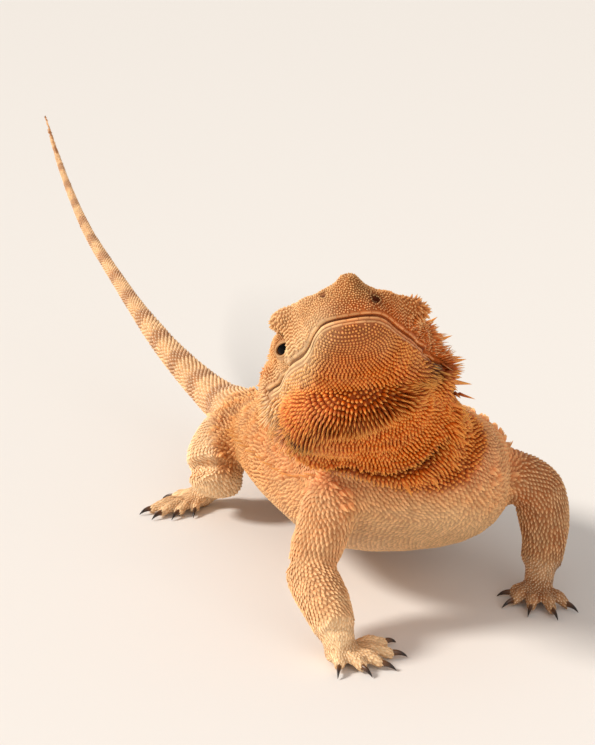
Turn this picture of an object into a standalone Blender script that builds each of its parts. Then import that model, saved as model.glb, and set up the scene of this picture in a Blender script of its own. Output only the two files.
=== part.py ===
"""Bearded dragon, life size, standing still with its head raised and turned.

The animal faces -Y and stands on z = 0. Lengths below are in millimetres.
The flesh is lofted whole, blended, parted by thin cuts and then named.
"""

import math

import bmesh
import bpy
from mathutils import Matrix, Vector
from mathutils.bvhtree import BVHTree

MM = 0.001
GAP = 0.3
VOXEL = 0.7
FLESH_TRIANGLES = 4000
CRUMB = 12.0

# head: its own frame has x to the animal's left, y forward, z to the crown
HEAD_AT = Vector((-13.2, -20.1, 95.6))
HEAD_LEFT = Vector((0.900, -0.426, 0.090))
HEAD_FRONT = Vector((-0.404, -0.739, 0.540))
EYE_AT = (15.0, -26.5, 2.3)
EYE_RADIUS = 3.9
SNOUT_TOP = 1.5
TOP_WIDENING = 0.022
# forward, half width, height of the widest line, crown, chin
HEAD_RINGS = (
    (1.0, 4.4, 2.5, 6.4, -1.8),
    (-0.8, 7.6, 2.5, 9.6, -4.2),
    (-4.0, 10.2, 3.0, 11.2, -6.4),
    (-9.0, 12.4, 3.5, 11.8, -8.8),
    (-15.0, 15.0, 3.5, 12.6, -11.0),
    (-22.0, 17.1, 3.0, 13.2, -13.2),
    (-30.0, 19.2, 2.0, 14.8, -16.0),
    (-38.0, 20.9, 0.0, 16.0, -19.0),
    (-45.0, 22.2, -1.5, 15.8, -22.5),
    (-51.0, 21.6, -4.0, 14.6, -25.0),
    (-56.0, 17.0, -5.0, 10.0, -22.5),
)
# swellings of the head: place, half sizes
HEAD_LUMPS = (
    ((0.9, -3.0, 9.0), (3.3, 4.6, 3.5)),
    ((13.9, -21.0, 6.9), (5.6, 10.0, 2.9)),
    ((11.2, -16.5, 6.9), (4.2, 8.0, 2.8)),
    ((8.6, -12.0, 6.2), (4.4, 10.0, 3.0)),
    ((18.4, -43.0, -4.0), (6.0, 9.5, 8.0)),
    ((14.2, -39.0, 4.4), (7.0, 10.5, 6.8)),
    ((0.0, -36.0, -13.0), (19.0, 19.0, 10.5)),
)

# trunk: place of the section's middle, half width, height above, depth below
TRUNK_RINGS = (
    ((16.0, 3.0, 50.0), 12.0, 10.0, 10.0),
    ((19.0, 8.0, 45.0), 22.0, 16.0, 15.0),
    ((23.5, 18.0, 39.0), 28.0, 19.0, 19.5),
    ((28.5, 34.0, 33.0), 32.0, 19.0, 22.0),
    ((30.0, 52.0, 31.0), 32.5, 19.0, 21.5),
    ((28.5, 72.0, 29.0), 30.0, 17.5, 18.5),
    ((26.0, 92.0, 26.5), 24.0, 14.0, 14.5),
    ((23.5, 110.0, 24.5), 16.0, 10.5, 11.5),
    ((21.5, 125.0, 22.5), 10.0, 8.6, 9.0),
    ((20.0, 141.0, 22.0), 7.2, 6.8, 7.0),
)
TRUNK_LUMPS = (
    ((44.0, 44.0, 22.5), (14.5, 25.0, 11.0)),
)
NECK_RINGS = (
    ((1.0, 3.0, 70.0), 18.0, 14.0, 14.0),
    ((7.0, 8.0, 62.0), 19.0, 15.0, 15.0),
    ((14.0, 12.0, 53.0), 21.0, 16.0, 15.0),
    ((20.0, 19.0, 43.0), 22.0, 16.0, 15.0),
)
TAIL_LINE = (
    ((21.5, 125.0, 22.5), 8.4),
    ((20.0, 141.0, 22.0), 6.8),
    ((18.3, 160.0, 24.0), 5.3),
    ((16.0, 186.0, 29.5), 4.1),
    ((15.4, 212.0, 35.5), 3.2),
    ((16.0, 240.0, 42.0), 2.6),
    ((18.0, 281.0, 51.0), 2.1),
    ((22.0, 318.0, 60.0), 1.7),
    ((28.0, 360.0, 71.5), 1.3),
    ((34.5, 398.0, 82.0), 0.8),
)
TAIL_CUTS = (2, 4, 6)

# limbs: places and half widths along the limb, from the trunk outwards
LIMBS = {
    "front_right": (
        ((10.0, 18.0, 40.0), 8.5),
        ((1.0, 16.0, 36.0), 7.8),
        ((-4.0, 14.0, 27.0), 6.8),
        ((-8.0, 12.0, 18.8), 6.4),
        ((-8.6, 2.0, 13.8), 6.2),
        ((-8.4, -5.0, 8.6), 5.0),
    ),
    "front_left": (
        ((32.0, 17.0, 40.0), 8.5),
        ((43.0, 15.0, 37.5), 8.0),
        ((53.5, 14.0, 35.0), 7.2),
        ((61.5, 13.0, 30.0), 7.0),
        ((63.6, 11.5, 19.0), 6.6),
        ((61.5, 9.5, 9.0), 5.2),
    ),
    "hind_right": (
        ((18.0, 113.0, 24.0), 9.4),
        ((8.5, 109.0, 22.2), 9.6),
        ((0.0, 102.0, 17.5), 8.6),
        ((0.0, 101.0, 14.0), 7.4),
        ((5.0, 106.0, 10.2), 5.8),
        ((5.0, 111.5, 6.8), 4.2),
    ),
    "hind_left": (
        ((29.0, 113.0, 24.0), 9.4),
        ((38.5, 109.0, 22.2), 9.6),
        ((47.0, 102.0, 17.5), 8.6),
        ((47.0, 101.0, 14.0), 7.4),
        ((42.0, 106.0, 10.2), 5.8),
        ((42.0, 111.5, 6.8), 4.2),
    ),
}
# feet: middle of the palm, then the tips of the five toes from the inner one
FEET = {
    "front_right": (
        (-7.6, -6.4),
        ((9.6, -2.6), (8.4, -11.0), (2.4, -16.6), (-4.6, -17.4), (-12.4, -14.6)),
    ),
    "front_left": (
        (59.0, 6.4),
        ((50.0, 12.0), (47.4, 5.0), (50.6, -2.6), (56.6, -7.6), (64.0, -5.6)),
    ),
    "hind_right": (
        (-1.5, 112.5),
        ((-7.0, 102.5), (-13.5, 103.5), (-19.0, 106.0), (-21.0, 111.5), (-10.0, 121.0)),
    ),
    "hind_left": (
        (48.5, 112.5),
        ((54.0, 102.5), (60.5, 103.5), (66.0, 106.0), (68.0, 111.5), (57.0, 121.0)),
    ),
}
PALM_HALF = {"front": 4.6, "hind": 4.8}
TOE_RADIUS = 1.7
CLAW_LENGTH = 3.4
CLAW_RADIUS = 0.8

# rows of spines round the head: forward, first and last angle, count, length
COLLARS = (
    (-47.5, -68.0, 62.0, 12, 4.9),
    (-43.0, -32.0, 8.0, 4, 6.2),
    (-44.0, 10.0, 36.0, 3, 6.0),
)
FLANK_SPINES = 13
FLANK_LENGTH = 3.4
# how far the head's spines stand out and lean back, left and right
SPINE_LEAN = {1: (0.95, 0.40), -1: (0.30, 0.95)}

# parting cuts: the head from the neck, then place, normal and half size
NECK_AT = -50.0
NECK_TILT = 0.16
# the mouth from its front back, and its fall across the jaw
MOUTH_LINE = (
    (5.0, 0.3),
    (-1.0, 0.2),
    (-8.0, -1.2),
    (-14.0, -1.9),
    (-26.0, -2.5),
    (-40.0, -4.4),
    (-53.0, -4.6),
)
MOUTH_TILT = 0.08
PARTINGS = (
    ((15.0, 10.0, 50.0), (-0.20, -0.45, 0.87), (32.0, 30.0)),
    ((21.3, 128.0, 22.5), (0, 1, 0), (13.0, 13.0)),
    ((-2.0, 15.0, 32.0), (-0.78, -0.45, -0.38), (13.5, 14.0)),
    ((-8.0, 12.0, 18.8), (-0.27, -0.62, -0.74), (9.0, 9.5)),
    ((-8.4, -3.6, 9.6), (0, -0.8, -0.6), (8.5, 8.0)),
    ((54.0, 14.0, 34.0), (0.85, -0.45, -0.20), (16.0, 15.0)),
    ((61.3, 13.0, 30.5), (0.62, -0.1, -0.78), (10.5, 10.5)),
    ((61.9, 10.0, 11.2), (-0.2, -0.2, -1), (8.5, 8.5)),
    ((3.2, 111.0, 26.0), (-0.93, 0.35, -0.12), (22.0, 15.0)),
    ((2.0, 106.0, 13.8), (0.35, 0.1, 0.93), (14.0, 14.0)),
    ((2.4, 112.0, 5.2), (-0.55, 0.55, -0.62), (9.0, 9.0)),
    ((44.0, 111.0, 26.0), (0.93, 0.35, -0.12), (22.0, 15.0)),
    ((45.0, 106.0, 13.8), (-0.35, 0.1, 0.93), (14.0, 14.0)),
    ((44.6, 112.0, 5.2), (0.55, 0.55, -0.62), (9.0, 9.0)),
)

SKIN_TAN = (0.66, 0.40, 0.20)
SKIN_ORANGE = (0.60, 0.24, 0.06)
SKIN_PALE = (0.74, 0.53, 0.34)
CLAW_BROWN = (0.05, 0.03, 0.02)
EYE_BLACK = (0.015, 0.010, 0.008)


def head_matrix():
    """Return the matrix from the head's own frame to the animal's."""
    front = HEAD_FRONT.normalized()
    left = (HEAD_LEFT - front * HEAD_LEFT.dot(front)).normalized()
    crown = left.cross(-front)
    frame = Matrix((left, front, crown)).transposed().to_4x4()
    frame.translation = HEAD_AT
    return frame


HEAD = head_matrix()


def clear_file():
    """Remove every object so that the part starts from nothing."""
    for thing in list(bpy.data.objects):
        bpy.data.objects.remove(thing, do_unlink=True)


def catmull(values, at):
    """Return a smooth curve through rows of numbers, at a real index."""
    count = len(values)
    i = min(int(at), count - 2)
    t = at - i
    p1 = values[i]
    p2 = values[i + 1]
    p0 = values[max(i - 1, 0)]
    p3 = values[min(i + 2, count - 1)]
    out = []
    for a, b, c, d in zip(p0, p1, p2, p3):
        curve = 2 * b + (c - a) * t + (2 * a - 5 * b + 4 * c - d) * t * t
        curve += (3 * b - a - 3 * c + d) * t * t * t
        out.append(0.5 * curve)
    return out


def resample(rows, steps):
    """Return rows with steps smooth rows for each given one."""
    flat = [[*row[0], *row[1:]] for row in rows]
    total = (len(flat) - 1) * steps
    return [catmull(flat, k / steps) for k in range(total + 1)]


def skin_rings(mesh, rings):
    """Join rings of points into one closed tube in a bmesh."""
    loops = [[mesh.verts.new(p) for p in ring] for ring in rings]
    count = len(loops[0])
    for near, far in zip(loops, loops[1:]):
        for k in range(count):
            j = (k + 1) % count
            mesh.faces.new((near[k], near[j], far[j], far[k]))
    mesh.faces.new(list(reversed(loops[0])))
    mesh.faces.new(loops[-1])


def section(centre, side, up, half, above, below, sides, top_power=2.5, power=2.5):
    """Return one rounded ring of points about a centre; a lower power gives a sharper top."""
    ring = []
    for k in range(sides):
        a = math.tau * k / sides
        c = math.cos(a)
        s = math.sin(a)
        bend = 2 / (top_power if s > 0 else power)
        x = math.copysign(abs(c) ** bend, c) * half
        z = math.copysign(abs(s) ** bend, s) * (above if s > 0 else below)
        ring.append(centre + side * x + up * z)
    return ring


def loft(mesh, rows, steps=4, sides=28, lie=Vector((0, 0, 1))):
    """Add a tube through rows of place, half width, above and below."""
    rows = [(r[0], r[1], r[2] if len(r) > 2 else r[1], r[3] if len(r) > 3 else r[1]) for r in rows]
    fine = resample(rows, steps)
    places = [Vector(r[:3]) for r in fine]
    rings = []
    for k, row in enumerate(fine):
        ahead = places[min(k + 1, len(fine) - 1)] - places[max(k - 1, 0)]
        ahead.normalize()
        side = ahead.cross(lie).normalized()
        up = side.cross(ahead).normalized()
        rings.append(section(places[k], side, up, row[3], row[4], row[5], sides))
    skin_rings(mesh, rings)


def blob(mesh, centre, halves, frame=Matrix(), sides=20, rows=10):
    """Add a closed egg-shaped lump to a bmesh."""
    rings = []
    for j in range(1, rows):
        v = math.pi * j / rows
        ring = []
        for k in range(sides):
            a = math.tau * k / sides
            x = math.sin(v) * math.cos(a) * halves[0]
            y = math.sin(v) * math.sin(a) * halves[1]
            z = math.cos(v) * halves[2]
            ring.append(frame @ (Vector(centre) + Vector((x, y, z))))
        rings.append(ring)
    skin_rings(mesh, rings)


def add_head(mesh):
    """Add the skull, jaws and beard."""
    rings = []
    fine = resample([((r[0], 0.0, 0.0), *r[1:]) for r in HEAD_RINGS], 4)
    for ahead, _, _, half, middle, crown, chin in fine:
        centre = HEAD @ Vector((0, ahead, middle))
        side = HEAD.to_3x3() @ Vector((1, 0, 0))
        up = HEAD.to_3x3() @ Vector((0, 0, 1))
        top_power = SNOUT_TOP - TOP_WIDENING * ahead
        rings.append(section(centre, side, up, half, crown - middle, middle - chin, 32, top_power))
    skin_rings(mesh, rings)
    for place, halves in HEAD_LUMPS:
        for hand in ((1,) if abs(place[0]) < 2.0 else (1, -1)):
            blob(mesh, (place[0] * hand, place[1], place[2]), halves, HEAD)


def toe_line(palm, tip, hind):
    """Return the places along one toe, from inside the palm to its end."""
    a = Vector((palm[0], palm[1], 3.0))
    b = Vector((tip[0], tip[1], 1.3))
    way = b - a
    length = way.length
    way.normalize()
    lift = 1.2 if hind else 1.5
    rows = []
    for share, z, thick in ((0.0, 2.6, 1.25), (0.35, 2.7, 1.1), (0.6, 2.1 + lift, 1.0), (0.82, 1.9, 0.92)):
        p = a + way * (length - CLAW_LENGTH * 0.75) * share
        rows.append(((p.x, p.y, z), TOE_RADIUS * thick))
    end = a + way * (length - CLAW_LENGTH * 0.75)
    rows.append(((end.x, end.y, 1.35), TOE_RADIUS * 0.86))
    return rows


def add_foot(mesh, name):
    """Add a palm and five toes."""
    palm, tips = FEET[name]
    hind = name.startswith("hind")
    half = PALM_HALF["hind" if hind else "front"]
    blob(mesh, (palm[0], palm[1], 2.8), (half, half, 3.4))
    wrist = LIMBS[name][-1][0]
    loft(mesh, ((wrist, 4.2), ((palm[0], palm[1], 3.4), 3.6), ((palm[0], palm[1], 3.0), 2.6)), 3, 16)
    for tip in tips:
        loft(mesh, toe_line(palm, tip, hind), 3, 12)


def make_flesh():
    """Return the whole blended body as one object."""
    mesh = bmesh.new()
    add_head(mesh)
    loft(mesh, NECK_RINGS)
    loft(mesh, TRUNK_RINGS)
    for place, halves in TRUNK_LUMPS:
        blob(mesh, place, halves)
    loft(mesh, TAIL_LINE)
    for name, line in LIMBS.items():
        loft(mesh, line, 4, 24, Vector((0.3, 0.4, 1.0)))
        add_foot(mesh, name)
    bmesh.ops.recalc_face_normals(mesh, faces=mesh.faces)
    flesh = to_object(mesh, "flesh")
    modify(flesh, "REMESH", mode="VOXEL", voxel_size=VOXEL)
    modify(flesh, "SMOOTH", factor=0.5, iterations=5)
    faces = sum(len(p.vertices) - 2 for p in flesh.data.polygons)
    modify(flesh, "DECIMATE", ratio=FLESH_TRIANGLES / faces)
    return flesh


def to_object(mesh, name):
    """Turn a bmesh into a linked object."""
    data = bpy.data.meshes.new(name)
    mesh.to_mesh(data)
    mesh.free()
    thing = bpy.data.objects.new(name, data)
    bpy.context.scene.collection.objects.link(thing)
    return thing


def modify(thing, kind, **settings):
    """Apply one modifier to an object."""
    modifier = thing.modifiers.new(kind.lower(), kind)
    for key, value in settings.items():
        setattr(modifier, key, value)
    graph = bpy.context.evaluated_depsgraph_get()
    data = bpy.data.meshes.new_from_object(thing.evaluated_get(graph))
    thing.modifiers.clear()
    old = thing.data
    thing.data = data
    bpy.data.meshes.remove(old)


def slab(mesh, centre, normal, half, up=Vector((0, 0, 1)), thick=GAP):
    """Add a thin plate to a bmesh; half gives its half width and height."""
    z = Vector(normal).normalized()
    x = Vector(up).cross(z).normalized()
    y = z.cross(x)
    rings = []
    for end in (-0.5, 0.5):
        ring = []
        for a, b in ((-1, -1), (1, -1), (1, 1), (-1, 1)):
            ring.append(Vector(centre) + x * a * half[0] + y * b * half[1] + z * end * thick)
        rings.append(ring)
    skin_rings(mesh, rings)


def mouth_plate(mesh):
    """Add the curved plate that parts the lower jaw from the head."""
    rings = []
    for ahead, rise in MOUTH_LINE:
        ring = []
        for a, b in ((-1, -1), (1, -1), (1, 1), (-1, 1)):
            up = rise + a * 34.0 * MOUTH_TILT
            stop = NECK_AT - 0.05 - NECK_TILT * (up + 4.0)
            ring.append(HEAD @ Vector((a * 34.0, max(ahead, stop), up + b * GAP / 2)))
        rings.append(ring)
    skin_rings(mesh, rings)


def toe_ends(name):
    """Return the end and the pointing direction of each toe of a foot."""
    palm, tips = FEET[name]
    ends = []
    for tip in tips:
        line = toe_line(palm, tip, name.startswith("hind"))
        end = Vector(line[-1][0])
        way = Vector((tip[0] - palm[0], tip[1] - palm[1], 0)).normalized()
        ends.append((end - way * 0.4, way))
    return ends


def cutters():
    """Return one object with every parting plate, socket and toe end."""
    mesh = bmesh.new()
    crown = HEAD.to_3x3() @ Vector((0, -NECK_TILT, 1))
    front = HEAD.to_3x3() @ Vector((0, 1, NECK_TILT))
    slab(mesh, HEAD @ Vector((0, NECK_AT, -4.0)), front, (29.0, 29.0), crown)
    mouth_plate(mesh)
    for centre, normal, half in PARTINGS:
        slab(mesh, centre, normal, half)
    for k in TAIL_CUTS:
        a = Vector(TAIL_LINE[k - 1][0])
        b = Vector(TAIL_LINE[k + 1][0])
        size = TAIL_LINE[k][1] * 1.6
        slab(mesh, TAIL_LINE[k][0], b - a, (size, size))
    for name in FEET:
        for end, way in toe_ends(name):
            slab(mesh, end + way * 1.2, way, (2.0, 2.4), thick=2.4)
    for hand in (1, -1):
        place = (EYE_AT[0] * hand, EYE_AT[1], EYE_AT[2])
        size = EYE_RADIUS + GAP
        blob(mesh, place, (size, size, size), HEAD, 12, 8)
    slab(mesh, (20, 180, -5), (0, 0, 1), (90, 260), Vector((0, 1, 0)), thick=10)
    bmesh.ops.recalc_face_normals(mesh, faces=mesh.faces)
    return to_object(mesh, "cutters")


def cone(mesh, root, way, length, radius, sides=4):
    """Add one spine, sunk into what it grows from."""
    way = way.normalized()
    x = way.orthogonal().normalized()
    y = way.cross(x)
    base = root - way * radius * 1.1
    ring = []
    for k in range(sides):
        a = math.tau * k / sides
        ring.append(mesh.verts.new(base + (x * math.cos(a) + y * math.sin(a)) * radius * 1.3))
    tip = mesh.verts.new(root + way * length)
    for k in range(sides):
        mesh.faces.new((ring[k], ring[(k + 1) % sides], tip))
    mesh.faces.new(list(reversed(ring)))


def grow(mesh, tree, outside, inward, way, length, radius):
    """Add a spine where a line from outside first meets the flesh."""
    hit = tree.ray_cast(outside, inward.normalized(), 120.0)
    if hit[0] is not None:
        cone(mesh, hit[0], way, length, radius)


def spines(flesh):
    """Return one object with the long spines of the head, beard and flanks."""
    tree = BVHTree.FromObject(flesh, bpy.context.evaluated_depsgraph_get())
    mesh = bmesh.new()
    turn = HEAD.to_3x3()
    back = turn @ Vector((0, -1, 0))
    for ahead, first, last, count, length in COLLARS:
        for k in range(count):
            a = math.radians(first + (last - first) * k / (count - 1))
            for hand in (1, -1):
                out = turn @ Vector((math.cos(a) * hand, 0, math.sin(a)))
                far = HEAD @ Vector((math.cos(a) * hand * 60, ahead, math.sin(a) * 60 - 3))
                stand, lean = SPINE_LEAN[hand]
                grow(mesh, tree, far, -out, out * stand + back * lean, length, 1.05)
    for k in range(FLANK_SPINES):
        share = k / (FLANK_SPINES - 1)
        row = catmull([[*r[0], *r[1:]] for r in TRUNK_RINGS], 2.1 + 4.4 * share)
        for hand in (1, -1):
            far = Vector((row[0] + hand * 70, row[1], row[2] + 3))
            way = Vector((hand * 0.8, 0.5, 0.3))
            grow(mesh, tree, far, Vector((-hand, 0, 0)), way, FLANK_LENGTH, 1.0)
    bmesh.ops.recalc_face_normals(mesh, faces=mesh.faces)
    return to_object(mesh, "spines")


def combine(thing, other, how):
    """Join or cut one object by another, then drop the other."""
    modify(thing, "BOOLEAN", object=other, operation=how, solver="EXACT", use_self=True)
    bpy.data.objects.remove(other, do_unlink=True)


def volume(mesh):
    """Return the volume of a closed bmesh."""
    return abs(mesh.calc_volume())


def part_pieces(flesh):
    """Split the flesh at its cuts and name each piece by its landmark."""
    whole = bmesh.new()
    whole.from_mesh(flesh.data)
    bmesh.ops.triangulate(whole, faces=whole.faces)
    seen = set()
    pieces = []
    for start in whole.verts:
        if start in seen:
            continue
        stack = [start]
        seen.add(start)
        found = []
        while stack:
            v = stack.pop()
            found.append(v)
            for e in v.link_edges:
                w = e.other_vert(v)
                if w not in seen:
                    seen.add(w)
                    stack.append(w)
        pieces.append(found)
    made = []
    for found in pieces:
        new = bmesh.new()
        copy = {v: new.verts.new(v.co) for v in found}
        for f in {f for v in found for f in v.link_faces}:
            new.faces.new([copy[v] for v in f.verts])
        if volume(new) > CRUMB:
            made.append(new)
        else:
            new.free()
    whole.free()
    bpy.data.objects.remove(flesh, do_unlink=True)
    marks = landmarks()
    for name, mark in marks.items():
        tree = [min((v.co - mark).length for v in piece.verts) for piece in made]
        mids = [sum((v.co for v in piece.verts), Vector()) / len(piece.verts) for piece in made]
        score = [near + 0.5 * (mid - mark).length for near, mid in zip(tree, mids)]
        best = score.index(min(score))
        to_object(made.pop(best), name)


def landmarks():
    """Return a place inside each fleshy node."""
    marks = {
        "head": HEAD @ Vector((0, -26, 6)),
        "lower_jaw": HEAD @ Vector((0, -28, -9)),
        "neck": Vector((9, 9, 60)),
        "trunk": Vector((27, 55, 30)),
    }
    stops = (1, *TAIL_CUTS, len(TAIL_LINE) - 1)
    for k, (a, b) in enumerate(zip(stops, stops[1:])):
        marks[f"tail_{k + 1}"] = (Vector(TAIL_LINE[a][0]) + Vector(TAIL_LINE[b][0])) / 2
    for name, line in LIMBS.items():
        marks[f"{name}_upper"] = (Vector(line[1][0]) + Vector(line[2][0])) / 2
        marks[f"{name}_lower"] = Vector(line[4][0])
        palm = FEET[name][0]
        marks[f"{name}_foot"] = Vector((palm[0], palm[1], 2))
    return marks


def make_claws():
    """Make the twenty claws, each a curved cone."""
    for name in FEET:
        for k, (end, way) in enumerate(toe_ends(name)):
            mesh = bmesh.new()
            rings = []
            for share, drop, thick in ((0.0, 0.0, 1.0), (0.5, 0.0, 0.75)):
                centre = end + way * (GAP + CLAW_LENGTH * share) - Vector((0, 0, drop))
                side = way.cross(Vector((0, 0, 1)))
                high = CLAW_RADIUS * thick
                rings.append(section(centre, side, Vector((0, 0, 1)), high * 0.85, high, high, 5, 2.0))
            loops = [[mesh.verts.new(p) for p in ring] for ring in rings]
            for near, far in zip(loops, loops[1:]):
                for i in range(5):
                    j = (i + 1) % 5
                    mesh.faces.new((near[i], near[j], far[j], far[i]))
            mesh.faces.new(list(reversed(loops[0])))
            tip = mesh.verts.new(end + way * (GAP + CLAW_LENGTH) - Vector((0, 0, 0.95)))
            for i in range(5):
                mesh.faces.new((loops[-1][i], loops[-1][(i + 1) % 5], tip))
            bmesh.ops.recalc_face_normals(mesh, faces=mesh.faces)
            to_object(mesh, f"claw_{name}_{k + 1}")


def make_eyes():
    """Make the two eyeballs."""
    for hand, name in ((1, "eye_left"), (-1, "eye_right")):
        mesh = bmesh.new()
        place = (EYE_AT[0] * hand, EYE_AT[1], EYE_AT[2])
        blob(mesh, place, (EYE_RADIUS,) * 3, HEAD, 12, 8)
        bmesh.ops.recalc_face_normals(mesh, faces=mesh.faces)
        to_object(mesh, name)


def material(name, colour, roughness):
    """Return a Principled material."""
    made = bpy.data.materials.new(name)
    made.use_nodes = True
    shader = made.node_tree.nodes["Principled BSDF"]
    shader.inputs["Base Color"].default_value = (*colour, 1.0)
    shader.inputs["Roughness"].default_value = roughness
    shader.inputs["Metallic"].default_value = 0.0
    return made


def finish_nodes():
    """Scale to metres, centre over the origin and give materials."""
    things = list(bpy.context.scene.collection.objects)
    low = [min(v.co[i] for t in things for v in t.data.vertices) for i in range(3)]
    high = [max(v.co[i] for t in things for v in t.data.vertices) for i in range(3)]
    shift = Vector((-(low[0] + high[0]) / 2, -(low[1] + high[1]) / 2, -low[2]))
    looks = {
        "claw": material("claw_brown", CLAW_BROWN, 0.35),
        "eye": material("eye_black", EYE_BLACK, 0.08),
        "jaw": material("skin_orange", SKIN_ORANGE, 0.7),
        "far": material("skin_pale", SKIN_PALE, 0.7),
        "skin": material("skin_tan", SKIN_TAN, 0.7),
    }
    for thing in things:
        for v in thing.data.vertices:
            v.co = (v.co + shift) * MM
        name = thing.name
        key = name.split("_")[0]
        if name == "lower_jaw":
            key = "jaw"
        elif key in ("tail", "hind"):
            key = "far"
        thing.data.materials.clear()
        thing.data.materials.append(looks.get(key, looks["skin"]))
        for polygon in thing.data.polygons:
            polygon.use_smooth = False


def main():
    """Build the animal."""
    clear_file()
    flesh = make_flesh()
    combine(flesh, spines(flesh), "UNION")
    combine(flesh, cutters(), "DIFFERENCE")
    part_pieces(flesh)
    make_eyes()
    make_claws()
    finish_nodes()


main()
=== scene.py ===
"""A life-size bearded dragon: one scaled skin over the solids, with eyes, lids, claws and spines."""

import math

import bmesh
import bpy
import numpy as np
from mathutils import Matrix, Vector
from mathutils.bvhtree import BVHTree
from mathutils.kdtree import KDTree


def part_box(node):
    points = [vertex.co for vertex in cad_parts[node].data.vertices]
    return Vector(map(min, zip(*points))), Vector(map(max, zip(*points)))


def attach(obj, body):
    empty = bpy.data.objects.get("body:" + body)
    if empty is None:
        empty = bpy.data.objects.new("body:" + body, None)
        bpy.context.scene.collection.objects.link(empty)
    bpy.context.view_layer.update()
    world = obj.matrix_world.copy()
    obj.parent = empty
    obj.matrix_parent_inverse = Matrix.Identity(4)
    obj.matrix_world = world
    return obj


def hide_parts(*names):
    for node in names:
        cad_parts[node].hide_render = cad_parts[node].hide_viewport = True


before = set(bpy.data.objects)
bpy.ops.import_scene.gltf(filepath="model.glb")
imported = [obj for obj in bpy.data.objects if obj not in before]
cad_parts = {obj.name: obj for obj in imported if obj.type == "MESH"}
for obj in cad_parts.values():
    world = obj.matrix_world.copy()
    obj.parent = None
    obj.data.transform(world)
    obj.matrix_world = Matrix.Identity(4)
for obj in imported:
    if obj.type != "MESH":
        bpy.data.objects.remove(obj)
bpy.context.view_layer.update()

# Lengths are in millimetres until a mesh is made.
MM = 0.001
DRAW = np.random.default_rng(11)
UP = np.array([0, 0, 1.0])

LEGS = ("front_right", "front_left", "hind_right", "hind_left")
PARTS = ("upper", "lower", "foot")
SPINY = ("head", "lower_jaw", "neck", "trunk")
TAIL = ("tail_1", "tail_2", "tail_3", "tail_4")
BODY = SPINY + TAIL
FLESH = BODY + tuple(f"{leg}_{part}" for leg in LEGS for part in PARTS)

SWELL = 0.22          # closes the parting cuts between the solids
CELL = 0.90           # size of the skin's first mesh
COAT = 0.26           # how far the bare skin lies inside the solids
SKIN_FLOOR = 0.12     # lowest place of the bare skin
FLOOR = 0.02          # lowest place of scales and claws
REACH = 60            # longest ray to the skin
RAYS = 84             # rays round a middle line for one row of scales
ROW = 0.87            # distance of two rows of scales, in scales
CLOSEST = 0.74        # least distance of two roots, in scales
FILLERS = 220000      # random places between the rows
HEAD_FRONT = (-0.404, -0.739, 0.540)    # where the snout points
EYE_PLACE = (15.0, -26.5, 2.3)          # eye from the mouth's front: sideways, forwards, towards the crown
MOUTH = ((5, 0.3), (-1, 0.2), (-8, -1.2), (-14, -1.9), (-26, -2.5), (-40, -4.4), (-53, -4.6))
MOUTH_TILT = 0.08       # the mouth's fall across the jaw
MOUTH_SAG = (1.8, -11.0, 3.8)           # the line's drop round the chin's right corner: depth, place, width
MOUTH_CORNER = -37.0
LIP_TURN = -12.0        # where the lips' line turns round the snout
NOSTRILS = ((-5.4, 6.9), (6.8, 5.0))    # sideways and towards the crown
EAR = (-45.5, -1.0)
EYE_WAY = {1: (0.93, -0.36, 0.08), -1: (-0.60, 0.75, -0.27)}     # where each eye looks, left and right
LID_OPEN = (2.15, 1.1, 1.5)             # half length of the eye's opening, and its height above and below
LIP_ROWS = ((0.60, 1.00), (-0.60, 1.00), (-1.50, 0.80))          # height over the mouth line, and breadth

# Creases on the head's axes, with depth and half width: throat, behind the beard, before the right eye
FOLDS = (
    (((-10.4, -51.3, -21.8), (-2.9, -48.1, -24.8), (7.9, -44.1, -28.1), (15.9, -42.4, -25.1),
      (20.2, -44.2, -18.7)), 2.3, 1.3),
    (((-14.5, -55.0, -26.0), (-4.0, -54.1, -30.3), (7.6, -51.2, -33.5), (18.6, -49.2, -29.7)), 0.8, 1.0),
    (((-17.0, -22.0, 5.5), (-15.2, -19.8, 3.0), (-14.6, -19.2, 0.4)), 1.7, 1.5),
)

# Lines and spots of colour on the head's axes
JAW_EDGE = ((8, -4, -3.2), (12.1, -12, -3.9), (16.3, -24.4, -5.2), (19.3, -34.5, -7.4), (20.9, -42.2, -11))
FRINGE = ((-14.5, -38, -18.2), (-8.3, -23.6, -18.9), (-0.7, -21.9, -19.5),
          (7.8, -20.4, -16.1), (14.3, -24.9, -11.0), (21.2, -35.9, -1.5))
TUFTS = (((22.0, -38.0, 4.0), (23.0, -40.0, -1.5)),
         ((-20.9, -42.0, -9.0), (-21.5, -47.0, -14.0), (-18.0, -50.0, -18.0)))
DARK_SPOTS = ((-14.5, -37.0, -18.0), (20.4, -34.0, -1.0))
# Painted shade along the snout's left flank, which faces away from the sun.
SNOUT_PAINTED_SHADE = ((3.4, -0.6, 9.4), (4.8, -0.9, 6.8), (7.5, -1.5, 5.0))
BROW = (-19.0, -23.0, 6.0)
NAPE = (25.1, -54.5, -3.1)
BAND_EVERY = 17.0       # from one band of back and tail to the next

# Distance from one scale to the next
PITCH = {"head": 0.94, "lower_jaw": 1.22, "neck": 1.2, "trunk": 1.3, "tail": 1.4,
         "upper": 1.2, "lower": 1.2, "foot": 0.8}

AZIMUTH, ELEVATION, DISTANCE = math.radians(-24), math.radians(17), 440      # of the camera
AIM = np.array([1.27, -0.87, -6.47])    # what it looks at, from the middle of the right eye


def unit(v):
    v = np.asarray(v, float)
    return v / np.maximum(np.linalg.norm(v, axis=-1, keepdims=True), 1e-9)


def ramp(low, high, value):
    """0 below low, 1 above high, and a smooth rise between (low may be the larger)."""
    t = np.clip((value - low) / (high - low), 0, 1)
    return t * t * (3 - 2 * t)


def bump(distance, width):
    return np.exp(-(distance / width) ** 2)


def dot(a, b):
    return (a * b).sum(-1)


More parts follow.
